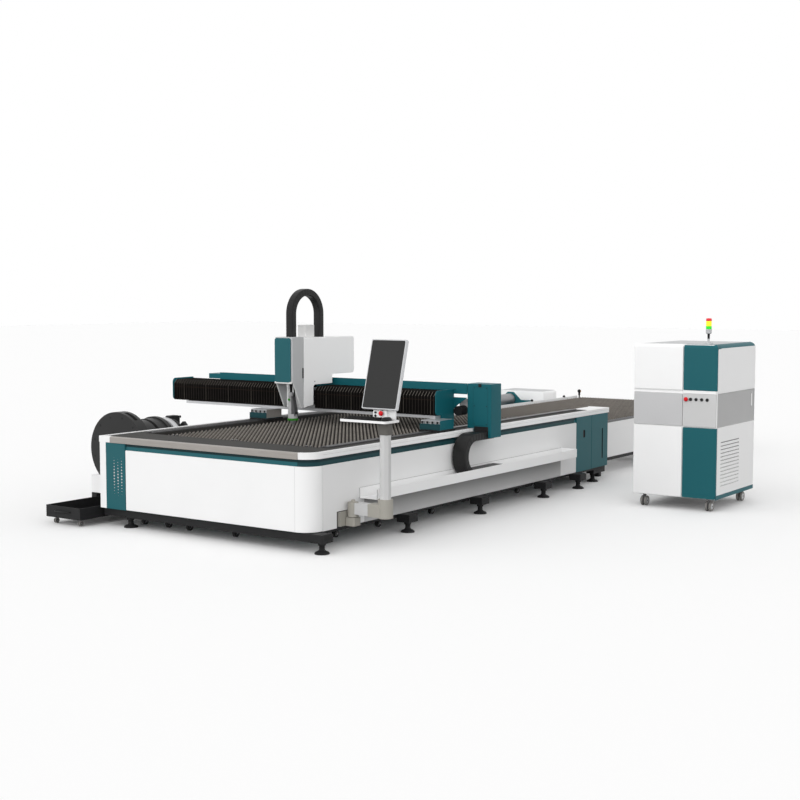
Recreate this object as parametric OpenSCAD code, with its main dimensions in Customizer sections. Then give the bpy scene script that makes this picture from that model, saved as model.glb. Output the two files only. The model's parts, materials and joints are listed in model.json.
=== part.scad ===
// Sheet and tube laser cutter with a travelling gantry, an exchange table and a control cabinet.
// Millimetres, +Z up. The bed's front stands at the low end of Y, the exchange table at the high end.

/* [Bed] */
// Width of the bed
bed_w = 2324; // [2250:1:2400]
// Length of the bed with its rim
bed_len = 5131; // [5000:1:5300]
// Height of the rim above the floor
rim_z = 780; // [770:1:800]
// Height of the rim's side
rim_h = 53; // [40:1:60]
// Width of the rim seen from above
rim_w = 32; // [26:1:38]
// Height of the recessed band under the rim
band_h = 55; // [30:1:80]
// Height of the panels' lower edge
panel_z = 157; // [140:1:170]
// Radius of the bed's rounded front corner
corner_r = 150; // [90:1:200]
// Thickness of the outer panels
panel_t = 12; // [8:1:16]
// Thickness of the folded bed walls
wall_t = 8; // [5:1:12]
// Height of the base frame's beams
base_h = 67; // [50:1:80]
// Width of the perforated panel at the front
vent_w = 235; // [180:1:260]
// Width of the service door
door_w = 378; // [330:1:420]
// Width of the fixed end panel beside the service door
end_panel_w = 342; // [300:1:380]

/* [Slat pallets] */
// Height of the slat tips in the bed
slat_z = 762; // [755:1:766]
// Height of the slat tips on the exchange table
table_z = 595; // [575:1:605]
// Length of a pallet
pallet_len = 3350; // [3200:1:3380]
// Distance between two slats
slat_pitch = 104; // [80:1:140]
// Height of a slat
slat_h = 62; // [50:1:68]
// Thickness of a slat
slat_t = 5; // [3:1:8]
// Width of one slat tooth
tooth_w = 62; // [50:1:90]
// Depth of one slat tooth
tooth_h = 24; // [14:1:30]

/* [Exchange table] */
// Length of the exchange table
table_len = 3410; // [3400:1:3600]
// Room beside the pallet on the exchange table
table_side = 83; // [75:1:120]
// Height of the table's side panels
table_panel_h = 400; // [330:1:420]

/* [Gantry] */
// Front face of the cable tray, from the bed's front
gantry_y = 2355; // [2300:1:2450]
// Depth of the bellows in front of the tray
bellows_d = 299; // [270:1:320]
// Height of the bellows' lower edge
bellows_z = 910; // [908:1:920]
// Height of the bellows' top
bellows_top = 1119; // [1110:1:1128]
// Depth of one bellows fold
fold_d = 22; // [14:1:26]
// Width of one bellows fold
fold_w = 38; // [30:1:60]
// Reach of the beam past the bed's side on the tube side
beam_out = 1128; // [1000:1:1180]
// Distance of the beam's end from the bed's side on the console side
beam_in = 212; // [202:1:232]
// Height of the cable tray's top
tray_top = 1187; // [1170:1:1200]
// Width of the leg box
leg_w = 252; // [230:1:280]
// Depth of the leg box
leg_d = 185; // [170:1:220]
// Width of a guide foot
foot_w = 220; // [180:1:228]
// Length of a guide foot
foot_len = 245; // [220:1:320]

/* [Carriage and head] */
// Place of the carriage across the bed
saddle_x = -520; // [-800:1:200]
// Width of the carriage
saddle_w = 240; // [220:1:300]
// Height of the carriage's top
saddle_top = 1584; // [1500:1:1650]
// Width of the head box
head_w = 210; // [190:1:218]
// Depth of the head box
head_d = 172; // [165:1:190]
// Height of the nozzle's tip
tip_z = 771; // [768:1:790]
// Radius of the laser head's body
head_r = 36; // [28:1:44]

/* [Cable chains] */
// Width of the side chain
chain_w = 138; // [110:1:146]
// Thickness of the side chain
chain_t = 70; // [56:1:76]
// Outer bend radius of the side chain
chain_r = 197; // [185:1:205]
// Width of the lift chain
lift_w = 70; // [56:1:80]
// Thickness of the lift chain
lift_t = 60; // [50:1:66]
// Outer bend radius of the lift chain
lift_r = 237; // [230:1:245]
// Length of one chain link
link_len = 74; // [60:1:90]

/* [Console] */
// Height of the console tray
console_z = 1000; // [960:1:1040]
// Length of the console tray
console_w = 445; // [420:1:540]
// Depth of the console tray
console_d = 194; // [185:1:240]
// Reach of the console post from its pivot
arm_reach = 293; // [270:1:330]
// Radius of the console post
post_r = 45; // [40:1:56]
// Width of the monitor
monitor_w = 332; // [300:1:380]
// Height of the monitor
monitor_h = 559; // [500:1:600]
// Thickness of the monitor
monitor_t = 34; // [26:1:44]
// Tilt of the monitor
monitor_tilt = 15; // [5:1:25]

/* [Tube unit] */
// Distance of the tube axis from the bed's side
tube_off = 467; // [440:1:500]
// Height of the tube axis
tube_z = 567; // [540:1:570]
// Radius of the front disc
disc_r = 345; // [300:1:350]
// Radius of the tube passage
tube_r = 110; // [80:1:120]
// Radius of the rear drum
drum_r = 80; // [72:1:100]

/* [Scrap cart] */
// Width of the scrap cart
cart_w = 430; // [380:1:460]
// Length of the scrap cart
cart_len = 760; // [600:1:800]
// Height of the scrap cart's box
cart_h = 103; // [80:1:120]

/* [Control cabinet] */
// Aisle between the bed and the cabinet
cab_gap = 978; // [800:1:1200]
// Width of the cabinet
cab_w = 823; // [760:1:880]
// Depth of the cabinet
cab_d = 960; // [860:1:1040]
// Height of the cabinet's top
cab_z = 1535; // [1450:1:1600]
// Height of the cabinet's underside
cab_b = 118; // [110:1:140]
// Radius of the cabinet's top edges
cab_r = 60; // [30:1:90]

/* [Hidden] */
$fn = 48;
// clearance between pieces that move past each other
gap = 0.4;
// seam between neighbouring panels
seam = 3;
// overrun of every cut
cut = 20;
// shares of a circle and of a length
half_share = 0.5;
third_share = 1 / 3;
quarter_share = 0.25;

// bed levels and places
bed_half = bed_w / 2;
rim_b = rim_z - rim_h;
panel_top = rim_b - band_h;
base_top = panel_z;
base_b = panel_z - base_h;
rim_over = 31;
shell_len = bed_len - rim_over;
deck_drop = 4;
deck_top = rim_z - deck_drop;
deck_t = 12;
deck_w = 205;
deck_in = bed_half - rim_w - deck_w;
deck_front = 400;
deck_lip = 26;
post_w = 75;
post_in = 7;
post_x = -bed_half + post_in;
post_d = 60;
bar_in_l = 137;
bar_in_r = 122;
bar_lead = 6;
beam_w = 110;
base_in = 26;
notch_y = 338;
notch_w = 190;
notch_h = 131;
sill_z = 440;

// feet under the bed
foot_ys = [68, 1248, 2410, 3599, 4333];
foot_out = 48;
foot_in = 102;
front_foot_x = -872;
disc_foot_r = 60;
disc_foot_h = 20;
stem_r = 20;
nut_r = 34;
nut_h = 22;
outrig_w = 120;
outrig_out = 108;
roller_r = 32;
roller_t = 26;
roller_ys = [420, 1000, 1800, 2700, 3300];
roller_xs = [-700, -420, -180, 330];

// guides
guide_in = 162;
guide_x = bed_half - guide_in;
rail_w = 30;
rail_h = 12;
rack_w = 18;
rack_h = 9;
rack_off = 50;
rail_front = 420;
rail_back = 60;

// pallets
pallet_gap = 10;
pallet_half = deck_in - pallet_gap;
pallet_bar = 30;
pallet_bar_h = 70;
pallet_y = deck_front + pallet_gap;
wheel_shares = [0.06, 0.35, 0.65, 0.94];
wheel_out = 25;
pallet_wheel_r = 16;
lane_in = pallet_half + pallet_gap / 2;
lane_w = 65;
lane_out = lane_in + lane_w;
lane_t = 30;
lane_bracket = 60;
lane_bracket_shares = [0.02, 0.25, 0.5, 0.75, 0.98];
table_half = pallet_half + table_side;
table_lead = 50;
table_pallet_y = bed_len + table_lead;

// trough and side chain
trough_y0 = 635;
trough_y1 = 4046;
trough_w = 180;
trough_z = 361;
trough_lip = 84;
trough_t = 5;
chain_off = 88;
chain_x = bed_half + chain_off;
chain_core_share = 0.8;
chain_link_share = 0.86;
chain_zc = trough_z + trough_t + gap + chain_r;
chain_lead = 183;
chain_y = gantry_y - chain_lead;
chain_in = 120;
chain_tail = 430;

// gantry
beam_left = bed_half + beam_out;
beam_right = bed_half - beam_in;
bellows_y = gantry_y - bellows_d;
bellows_wall = 6;
beam_room = 24;
beam_front = bellows_y + fold_d + bellows_wall + beam_room;
beam_drop = 4;
beam_z = bellows_z - beam_drop;
beam_top_in = 34;
beam_top = bellows_top - beam_top_in;
beam_plate_t = 25;
beam_plate_l = 180;
beam_rail_t = 20;
beam_rail_h = 30;
beam_rail_rise = 49;
beam_rail_step = 80;
beam_rail_zs = [for (i = [0, 1]) beam_z + beam_rail_rise + i * beam_rail_step];
end_t = 10;
end_lead = 2;
end_rise = 12;
end_r = 40;
end_low = deck_top + rack_h + end_rise * third_share;
tray_d = 213;
tray_t = 8;
tray_h = 87;
tray_b = tray_top - tray_h;
tray_back_z = 960;
tray_out = 908;
tray_left = bed_half + tray_out;
tray_step = 155;
tray_cap_in = 22;
tray_cap_drop = 15;
tray_cap_z0 = tray_b + tray_cap_in;
tray_cap_z1 = tray_top - tray_cap_drop;
leg_in = 62;
leg_z = 702;
leg_side = 10;
leg_room = 5;
leg_step_z = rim_z + leg_room;
leg_slot_top = 795;
slot_room = 4;
foot_lead = 460;
foot_lift = 2;
foot_b = deck_top + foot_lift;
foot_pad_h = 20;
foot_box_h = 50;
foot_room = gap;
comb_t = 12;
comb_n = 4;
comb_share = 0.6;
comb_depth_share = 0.55;

// carriage
saddle_reach = 489;
saddle_front = gantry_y - saddle_reach;
saddle_tail = 292;
saddle_back = gantry_y + saddle_tail;
saddle_low = 925;
saddle_nose = 945;
saddle_clear = 18;
saddle_mid = bellows_top + saddle_clear;
saddle_over = 39;
saddle_high = tray_top + saddle_over;
saddle_step_lead = 56;
saddle_step = gantry_y - saddle_step_lead;
saddle_nose_lead = 349;
saddle_nose_y = gantry_y - saddle_nose_lead;
saddle_r = 28;
block_rise = 34;
block_zs = [for (i = [0, 1]) beam_z + block_rise + i * beam_rail_step];
block_h = 60;
motor_lead = 444;
motor_d = 248;
motor_y0 = gantry_y - motor_lead;
motor_y1 = motor_y0 + motor_d;
motor_w = 140;
motor_h = 119;
motor_r = 22;
lift_lead = 323;
lift_y = gantry_y - lift_lead;
lift_rise = 221;
lift_zc = saddle_top + lift_rise;
head_over = 10;
head_top = saddle_top + head_over;
head_b = 1165;
head_x = saddle_x + saddle_w / 2 - head_w / 2;
head_back = saddle_front - gap;
head_front = saddle_front - head_d;
cover_t = 12;
cover_in = 8;
cover_r = 24;
gusset_t = 8;
gusset_b = 925;
gusset_foot = 36;
head_side = 35;
head_lead = 86;
ring_r = 52;
ring_h = 16;
nozzle_r = 24;
nozzle_tip_r = 6;
nozzle_h = 34;
collar_r = 44;
collar_h = 150;
block_w = 34;
head_block_d = 60;
head_block_h = 110;
head_block_rise = 61;
head_block_z = tip_z + head_block_rise;
band_r = 39;
band_rise = 229;
band_z = tip_z + band_rise;
band_t = 22;
edge_r = 10;

// console
arm_y = 470;
arm_out = 60;
arm_x = bed_half + arm_out;
arm_dy = 30;
post_x0 = arm_x + arm_reach;
post_y0 = arm_y + arm_dy;
brack_t = 26;
brack_z0 = 168;
brack_lug = 236;
brack_w = 150;
pin_r = 18;
pin_clear = 0.3;
hub_r = 44;
hub_z0 = 240;
hub_z1 = 356;
arm_tube_z0 = 262;
arm_tube_z1 = 352;
arm_tube_w = 86;
elbow_z0 = 250;
elbow_z1 = 400;
elbow_r = 60;
joint_z = 905;
joint_w = 96;
joint_d = 84;
joint_r = 20;
tray_r = 14;
tray_left_of_post = 365;
tray_front_of_post = 112;
tray_floor = 6;
tray_lip = 20;
tray_lip_t = 4;
mast_w = 108;
mast_d = 24;
mast_in = 30;
mast_dx = 15;
mast_rise = 60;
mon_z = 1094;
mon_dx = -195;
screen_in = 9;
screen_t = 2;
key_w = 325;
key_d = 125;
key_h = 18;
key_in = 18;
key_r = 8;
mouse_w = 58;
mouse_d = 108;
mouse_h = 36;
mouse_in = 11;
switch_w = 132;
switch_d = 22;
switch_h = 52;
switch_rise = 37;
switch_dx = -72;
estop_r = 20;
estop_stem_r = 11;
estop_h = 26;
estop_cap_h = 14;
estop_share = 0.15;
stop_z_share = 0.65;
button_r = 9;
button_h = 9;
button_dx_share = 0.31;
button_dz_share = 0.246;

// tube unit
tube_x = -bed_half - tube_off;
disc_y = 640;
disc_t = 116;
rim_slot_y0 = 675;
rim_slot_y1 = 715;
rim_slot_w = 150;
rim_slot_d = 28;
rim_slot_turn = 66;
hub_rotor_r = 182;
house_y0 = 800;
house_y1 = 975;
house_ring_r = 250;
house_clear = 0.5;
ped_l = 481;
ped_r = tube_off - gap;
ped_z0 = 115;
ped_z1 = 285;
ped_y0 = disc_y + disc_t + seam;
ped_y1 = 1010;
ped_leg = 70;
spin_y0 = 1000;
spin_y1 = 1150;
spin_r = 256;
spin_flange_y = 1105;
spin_flange_r = 270;
neck_r = 215;
jaw_ring_y0 = 1200;
jaw_ring_y1 = 1330;
jaw_ring_r = 252;
jaw_y1 = 1450;
jaw_r0 = 128;
jaw_r1 = 268;
jaw_w = 70;
track_y0 = 1500;
tie_w = 70;
tie_z = 270;
track_w = 400;
track_z0 = 180;
track_z1 = 330;
track_rail_w = 34;
track_rail_h = 30;
track_leg = 90;
track_leg_shares = [0.03, 0.215, 0.4, 0.585, 0.77, 0.94];
rear_y = 7815;
rear_plate_t = 26;
rear_top_half = 43;
rear_top_rise = 101;
rear_mid_half = 156;
rear_wide_half = 339;
rear_wing_drop = 2;
rear_drum_len = 420;
rear_neck_r = 70;
rear_len = 380;
rear_base_h = 60;
rear_clear = 0.6;
rear_bore = 40;
rear_room = 252;
house_rear_y = rear_y + rear_room;
house_rear_len = 370;
house_rear_w = 700;
house_rear_z = 673;
house_rear_r = 40;
house_rear_dx = 23;

// cart
cart_off = 219;
cart_x = tube_x + cart_off;
cart_y = -200;
cart_z = 62;
cart_wall = 6;
cart_slot_w = 178;
cart_slot_h = 16;
cart_slot_d = 4;
wheel_r = 24;
wheel_t = 18;
fork_t = 5;
fork_w = 30;
caster_in = 62;

// cabinet
cab_x = bed_half + cab_gap;
cab_y = 3640;
cab_skin = 14;
cab_split_share = 0.6;
cab_mid0_share = 0.465;
cab_mid1_share = 0.685;
cab_strip = 26;
cab_seam = 4;
cab_panel_r = 10;
cab_door_in = 8;
vent_rows = 13;
vent_slot_w = 452;
vent_slot_h = 8;
vent_deep = 6;
cab_wheel_r = 46;
cab_wheel_t = 32;
cab_caster_in = 90;
tower_x_share = 0.85;
tower_in = 70;
tower_flange_r = 42;
tower_flange_h = 18;
tower_pole_r = 9;
tower_pole_h = 80;
tower_r = 26;
tower_base_h = 44;
tower_lamp_h = 30;
tower_seam = 3;
handle_z_share = 0.56;
handle_h = 150;
handle_w = 16;
handle_in = 70;
cab_estop_x_share = 0.08;
cab_button_x_shares = [0.235, 0.395, 0.56, 0.72];
cab_button_r = 13;
cab_button_z_share = 0.82;

// the frame's origin lies under the middle of the whole machine's outline
all_x0 = -beam_left - end_t;
all_x1 = cab_x + cab_w;
all_y0 = cart_y;
all_y1 = bed_len + table_len;
shift_x = -(all_x0 + all_x1) / 2;
shift_y = -(all_y0 + all_y1) / 2;

// slots, holes and grips of the bed's panels
slot_d = 46;
slot_z0 = 505;
slot_z1 = 583;
hole_r = 6;
hole_rows = 13;
hole_pitch_x = 52;
hole_pitch_z = 30;
hole_z = 250;
bed_cap = 410;
door_grip_d = 22;
door_grip_z0 = 247;
door_grip_z1 = 569;
door_grip_in = 125;

// exchange table
table_y0 = bed_len + gap;
table_rail_y0 = shell_len - panel_t + gap;
table_y1 = all_y1;
table_end = table_y1 - panel_t - gap;
table_rail_h = 90;
table_rail_w = table_side - panel_t - pallet_gap;
table_leg_first = 150;
table_leg_step = 1550;
table_leg_ys = [for (i = [0 : 2]) table_leg_first + i * table_leg_step];
table_panel_b = 190;
knob_r = 9;
knob_h = 55;
knob_cap_r = 15;
knob_cap_h = 16;
knob_in = 42;
table_lip = 8;
table_low = table_z - slat_h - pallet_bar_h - table_rail_h * half_share - gap;
pallet_cross = 4;

// gantry details
tray_slit_z = 1088;
tray_back_drop = 30;
stay_low = 948;
stay_top = 1057;
stay_w = 52;
stay_rise = 43;
bracket_w = 135;
bracket_in = 85;
bracket_t = 12;
bracket_top = 1040;
drive_r = 44;
drive_in = 85;
drive_lead = 25;
drive_z = 935;
bend_share = 0.96;

// console places
tray_x0 = post_x0 - tray_left_of_post;
tray_y0 = post_y0 - tray_front_of_post;
mast_y = tray_y0 + console_d - mast_in - mast_d;
mon_x = post_x0 + mast_dx + mon_dx * third_share;
mon_y = mast_y - mast_rise * tan(monitor_tilt) - gap;
switch_x = post_x0 + mast_dx + switch_dx;
switch_y = mast_y - switch_d;
switch_z = console_z + switch_rise;
stop_in = 4;
stop_press = 8;

// cabinet places
cab_split = cab_x + cab_split_share * cab_w;
cab_m0 = cab_b + cab_mid0_share * (cab_z - cab_b);
cab_m1 = cab_b + cab_mid1_share * (cab_z - cab_b);
cab_y1 = cab_y + cab_d;
cab_face = cab_y + cab_skin;
vent_low_share = 0.172;
vent_span_share = 0.661;
vent_y_share = 0.105;
cab_right_w = cab_x + cab_w - cab_split;
cab_key_z = cab_m0 + cab_button_z_share * (cab_m1 - cab_m0);
cab_stop_x = cab_split + cab_estop_x_share * cab_right_w + estop_r / 2;

module place() {
    translate([shift_x, shift_y, 0]) children();
}

module span(a, b) {
    translate(a) cube(b - a);
}

module rrect(w, h, r) {
    square([w - 2 * r, h], center = true);
    square([w, h - 2 * r], center = true);
    for (i = [-1, 1], j = [-1, 1]) {
        translate([i * (w / 2 - r), j * (h / 2 - r)]) circle(r);
    }
}

module plate_x(a, b, r) {
    translate([a.x, (a.y + b.y) / 2, (a.z + b.z) / 2])
        rotate([90, 0, 90]) linear_extrude(b.x - a.x) rrect(b.y - a.y, b.z - a.z, r);
}

module plate_y(a, b, r) {
    translate([(a.x + b.x) / 2, b.y, (a.z + b.z) / 2])
        rotate([90, 0, 0]) linear_extrude(b.y - a.y) rrect(b.x - a.x, b.z - a.z, r);
}

module plate_z(a, b, r) {
    translate([(a.x + b.x) / 2, (a.y + b.y) / 2, a.z])
        linear_extrude(b.z - a.z) rrect(b.x - a.x, b.y - a.y, r);
}

module rod_x(y, z, r, x0, x1) {
    translate([x0, y, z]) rotate([0, 90, 0]) cylinder(r = r, h = x1 - x0);
}

module rod_y(x, z, r, y0, y1) {
    translate([x, y1, z]) rotate([90, 0, 0]) cylinder(r = r, h = y1 - y0);
}

module rod_z(x, y, r, z0, z1) {
    translate([x, y, z0]) cylinder(r = r, h = z1 - z0);
}

module slab_x(pts, x0, x1) {
    translate([x0, 0, 0]) rotate([90, 0, 90]) linear_extrude(x1 - x0) polygon(pts);
}

// the bed's outline in plan, with its one rounded front corner
module plan(i, len) {
    difference() {
        translate([-bed_half + i, i]) square([bed_w - 2 * i, len - 2 * i]);
        translate([bed_half - corner_r, -cut]) square([corner_r + cut, corner_r + cut]);
    }
    translate([bed_half - corner_r, corner_r]) circle(corner_r - i);
}

module caster(x, y, top, r, t, fork) {
    span([x - fork, y - fork, top - fork_t], [x + fork, y + fork, top]);
    for (s = [-1, 1]) {
        span([x + s * (t / 2 + fork_t) - fork_t / 2, y - r / 2, r * half_share],
             [x + s * (t / 2 + fork_t) + fork_t / 2, y + r / 2, top - fork_t]);
    }
    rod_x(y, r, r, x - t / 2, x + t / 2);
    rod_x(y, r, r * quarter_share, x - t / 2 - fork_t, x + t / 2 + fork_t);
}

module base_frame() color([0.13, 0.13, 0.13]) place() {
    x0 = -bed_half + base_in;
    x1 = bed_half - base_in;
    y1 = shell_len - base_in;
    for (x = [x0, x1 - beam_w]) span([x, base_in, base_b], [x + beam_w, y1, base_top]);
    for (y = [base_in, foot_ys[1], foot_ys[2], foot_ys[3], y1 - beam_w]) {
        span([x0 + beam_w + gap, y, base_b], [x1 - beam_w - gap, y + beam_w, base_top]);
    }
    for (y = foot_ys) {
        yy = max(y, base_in + outrig_w / 2);
        span([x1 + gap, yy - outrig_w / 2, base_b],
            [bed_half + outrig_out, yy + outrig_w / 2, base_top - gap]);
    }
}

module foot(x, y, top) {
    rod_z(x, y, disc_foot_r, 0, disc_foot_h);
    rod_z(x, y, stem_r, disc_foot_h, top);
    rod_z(x, y, nut_r, top - nut_h, top);
}

module levelling_feet() color([0.1, 0.1, 0.1]) place() {
    for (y = foot_ys) {
        yy = max(y, base_in + outrig_w / 2);
        foot(bed_half + foot_out, yy, base_b);
        if (y > foot_ys[0]) foot(-bed_half + foot_in, yy, base_b);
    }
    foot(front_foot_x, base_in + beam_w / 2, base_b);
}

module bed_shell() color([0.19, 0.38, 0.41]) place() {
    difference() {
        translate([0, 0, panel_z]) linear_extrude(rim_b - panel_z) difference() {
            plan(panel_t, shell_len);
            plan(panel_t + wall_t, shell_len);
        }
        span([-lane_out, shell_len - panel_t - wall_t - cut, sill_z],
            [lane_out, shell_len + cut, rim_b + cut]);
    }
    translate([0, 0, panel_z]) linear_extrude(wall_t) plan(panel_t + wall_t / 2, shell_len);
    difference() {
        plate_x([bed_half - panel_t - wall_t / 2, shell_len - door_w - end_panel_w, panel_z],
                [bed_half, shell_len - door_w - seam, rim_b], edge_r);
        plate_x([bed_half - panel_t / 2, shell_len - door_w - end_panel_w / 2 - slot_d / 2, slot_z0],
                [bed_half + cut, shell_len - door_w - end_panel_w / 2 + slot_d / 2, slot_z1],
                    slot_d * quarter_share);
    }
}

module front_panel() color([0.96, 0.96, 0.96]) place() {
    x0 = post_x + post_w + vent_w + seam;
    xm = bed_half - corner_r;
    plate_y([x0, 0, panel_z + seam], [xm, panel_t - gap, panel_top], edge_r);
    span([(x0 + xm) / 2, 0, panel_z + seam], [xm, panel_t - gap, panel_top]);
    translate([xm, corner_r, panel_z + seam]) linear_extrude(panel_top - panel_z - seam) intersection() {
        difference() {
            circle(corner_r);
            circle(corner_r - panel_t + gap);
        }
        translate([0, -corner_r]) square(corner_r);
    }
}

module vent_panel() color([0.19, 0.38, 0.41]) place() {
    x0 = post_x + post_w + gap;
    difference() {
        span([x0, 0, panel_z], [x0 + vent_w - seam, panel_t - gap, rim_b]);
        for (i = [0 : hole_rows - 1], j = [-1, 0, 1]) {
            rod_y(x0 + vent_w / 2 + j * hole_pitch_x, hole_z + (i + abs(j) / 2) * hole_pitch_z, hole_r,
                -cut, panel_t + cut);
        }
    }
}

module side_panels() color([0.9, 0.9, 0.9]) place() {
    y1 = shell_len - door_w - end_panel_w - seam;
    difference() {
        plate_x([bed_half - panel_t + gap, corner_r + seam, panel_z], [bed_half, y1, panel_top], edge_r);
        span([bed_half - panel_t - cut, notch_y, panel_z - cut],
            [bed_half + cut, notch_y + notch_w, panel_z + notch_h]);
    }
    plate_x([-bed_half, post_d + seam, panel_z], [-bed_half + panel_t - gap, shell_len, panel_top], edge_r);
}

module bed_rim() color([0.97, 0.97, 0.97]) place() {
    difference() {
        translate([0, 0, rim_b]) linear_extrude(rim_h) difference() {
            plan(0, bed_len);
            plan(rim_w, bed_len);
        }
        span([-bed_half + bar_in_l, -cut, rim_b - cut], [bed_half - bar_in_r, rim_w + cut, rim_z + cut]);
        span([-deck_in, bed_len - rim_w - cut, rim_b - cut], [deck_in, bed_len + cut, rim_z + cut]);
    }
    span([post_x, 0, panel_z], [post_x + post_w, panel_t - gap, rim_b]);
    span([deck_in + cut, bed_len - bed_cap, deck_top], [bed_half - rim_w, bed_len - rim_w, rim_z]);
}

module front_bar() color([0.63, 0.61, 0.59]) place() {
    x0 = -bed_half + bar_in_l + gap;
    x1 = bed_half - bar_in_r - gap;
    slab_x([[-bar_lead, rim_b], [rim_w, rim_b], [rim_w, rim_z], [bar_lead, rim_z],
        [-bar_lead, rim_z - bar_lead]], x0, x1);
}

module bed_deck() color([0.3, 0.3, 0.3]) place() {
    y1 = bed_len - rim_w - gap;
    x1 = bed_half - rim_w - gap;
    z0 = deck_top - deck_t;
    span([-deck_in + gap, rim_w + gap, z0], [deck_in - gap, deck_front, deck_top]);
    span([-deck_in + gap, deck_front - wall_t, z0 - deck_lip], [deck_in - gap, deck_front, z0 - gap]);
    for (s = [0, 1]) mirror([s, 0, 0]) {
        difference() {
            span([deck_in, rim_w + gap, z0], [x1, y1, deck_top]);
            translate([0, 0, z0 - cut]) linear_extrude(deck_t + 2 * cut) difference() {
                translate([bed_half - corner_r, 0]) square(corner_r);
                translate([bed_half - corner_r, corner_r]) circle(corner_r - rim_w - gap);
            }
        }
        span([deck_in, deck_front, z0 - deck_lip], [deck_in + wall_t, y1, z0 - gap]);
        for (z = [slat_z, table_z]) lane(z - slat_h - pallet_bar_h - gap);
    }
}

// track inside the bed that carries one pallet's wheels
module lane(top) {
    y1 = shell_len - panel_t - wall_t - gap;
    span([lane_in, deck_front, top - lane_t], [lane_out, y1, top]);
    for (s = lane_bracket_shares) {
        y = deck_front + s * (y1 - deck_front);
        span([lane_out + gap, y - lane_bracket / 2, top - lane_t],
             [bed_half - panel_t - wall_t - gap, y + lane_bracket / 2, top]);
    }
}

module guide_rails() color([0.45, 0.45, 0.46]) place() {
    y1 = bed_len - bed_cap - rail_back;
    for (s = [0, 1]) mirror([s, 0, 0]) {
        span([guide_x - rail_w / 2, rail_front, deck_top], [guide_x + rail_w / 2, y1, deck_top + rail_h]);
        span([guide_x - rack_off - rack_w / 2, rail_front, deck_top],
            [guide_x - rack_off + rack_w / 2, y1, deck_top + rack_h]);
    }
}

module service_door() color([0.19, 0.38, 0.41]) place() {
    y0 = shell_len - door_w + seam;
    difference() {
        plate_x([bed_half - panel_t + gap, y0, panel_z + seam], [bed_half, shell_len, rim_b - gap], edge_r);
        plate_x([bed_half - panel_t / 2, shell_len - door_grip_in - door_grip_d / 2, door_grip_z0],
                [bed_half + cut, shell_len - door_grip_in + door_grip_d / 2, door_grip_z1],
                    door_grip_d * quarter_share);
    }
}

module chain_trough() color([0.9, 0.9, 0.9]) place() {
    x0 = bed_half + gap;
    x1 = bed_half + trough_w;
    span([x0, trough_y0, trough_z], [x1, trough_y1, trough_z + trough_t]);
    span([x1 - trough_t, trough_y0, trough_z], [x1, trough_y1, trough_z + trough_lip]);
    span([x0, trough_y0, trough_z], [x0 + trough_t, trough_y1, trough_z + trough_lip]);
    span([x0, trough_y1 - trough_t, trough_z], [x1, trough_y1, trough_z + trough_lip]);
}

module roller_at(x, y, along) {
    if (along) rod_x(y, roller_r, roller_r, x - roller_t / 2, x + roller_t / 2);
    else rod_y(x, roller_r, roller_r, y - roller_t / 2, y + roller_t / 2);
    span([x - roller_t * third_share, y - roller_t * third_share, roller_r],
        [x + roller_t * third_share, y + roller_t * third_share, base_b]);
}

module base_rollers() color([0.12, 0.12, 0.12]) place() {
    for (y = roller_ys) roller_at(bed_half - base_in - beam_w / 2, y, true);
    for (x = roller_xs) roller_at(x, base_in + beam_w / 2, true);
}

module exchange_frame() color([0.14, 0.14, 0.14]) place() {
    x1 = table_half - panel_t - gap;
    for (s = [-1, 1]) {
        span([s * (x1 - table_rail_w / 2) - table_rail_w / 2, table_rail_y0, panel_z],
             [s * (x1 - table_rail_w / 2) + table_rail_w / 2, table_end, panel_z + table_rail_h]);
        span([s * (x1 - table_rail_w / 2) - table_rail_w / 2, table_rail_y0, table_low],
             [s * (x1 - table_rail_w / 2) + table_rail_w / 2, table_end,
                 table_low + table_rail_h * half_share]);
        for (y = table_leg_ys) {
            span([s * (x1 - table_rail_w / 2) - table_rail_w / 2, table_y0 + y - table_rail_w / 2, 0],
                 [s * (x1 - table_rail_w / 2) + table_rail_w / 2, table_y0 + y + table_rail_w / 2,
                     panel_z - gap]);
            span([s * (x1 - table_rail_w / 2) - table_rail_w / 2, table_y0 + y - table_rail_w / 2,
                panel_z + table_rail_h + gap],
                 [s * (x1 - table_rail_w / 2) + table_rail_w / 2, table_y0 + y + table_rail_w / 2,
                     table_low - gap]);
        }
    }
    for (y = table_leg_ys) {
        span([-x1 + table_rail_w + gap, table_y0 + y - table_rail_w / 2, panel_z],
            [x1 - table_rail_w - gap, table_y0 + y + table_rail_w / 2, panel_z + table_rail_h]);
    }
    rod_z(-x1 + knob_in, table_end - knob_cap_r - seam, knob_r, table_low + table_rail_h * half_share,
        table_z + knob_h);
    rod_z(-x1 + knob_in, table_end - knob_cap_r - seam, knob_cap_r, table_z + knob_h,
        table_z + knob_h + knob_cap_h);
}

module exchange_panels() color([0.9, 0.9, 0.9]) place() {
    for (s = [0, 1]) mirror([s, 0, 0]) {
        plate_x([table_half - panel_t, table_y0, table_z - table_panel_h],
            [table_half, table_y1, table_z + table_lip], edge_r);
    }
    span([-table_half + panel_t + gap, table_y1 - panel_t, table_z - table_panel_h],
        [table_half - panel_t - gap, table_y1, table_low - gap]);
}

// one saw-toothed slat across the pallet
function slat_pts(w, h, n) = concat([[-w / 2, 0]], [for (i = [0 : n - 1]) each [
    [-w / 2 + i * w / n, h - tooth_h], [-w / 2 + (i + half_share) * w / n, h]]],
        [[w / 2, h - tooth_h], [w / 2, 0]]);

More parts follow.
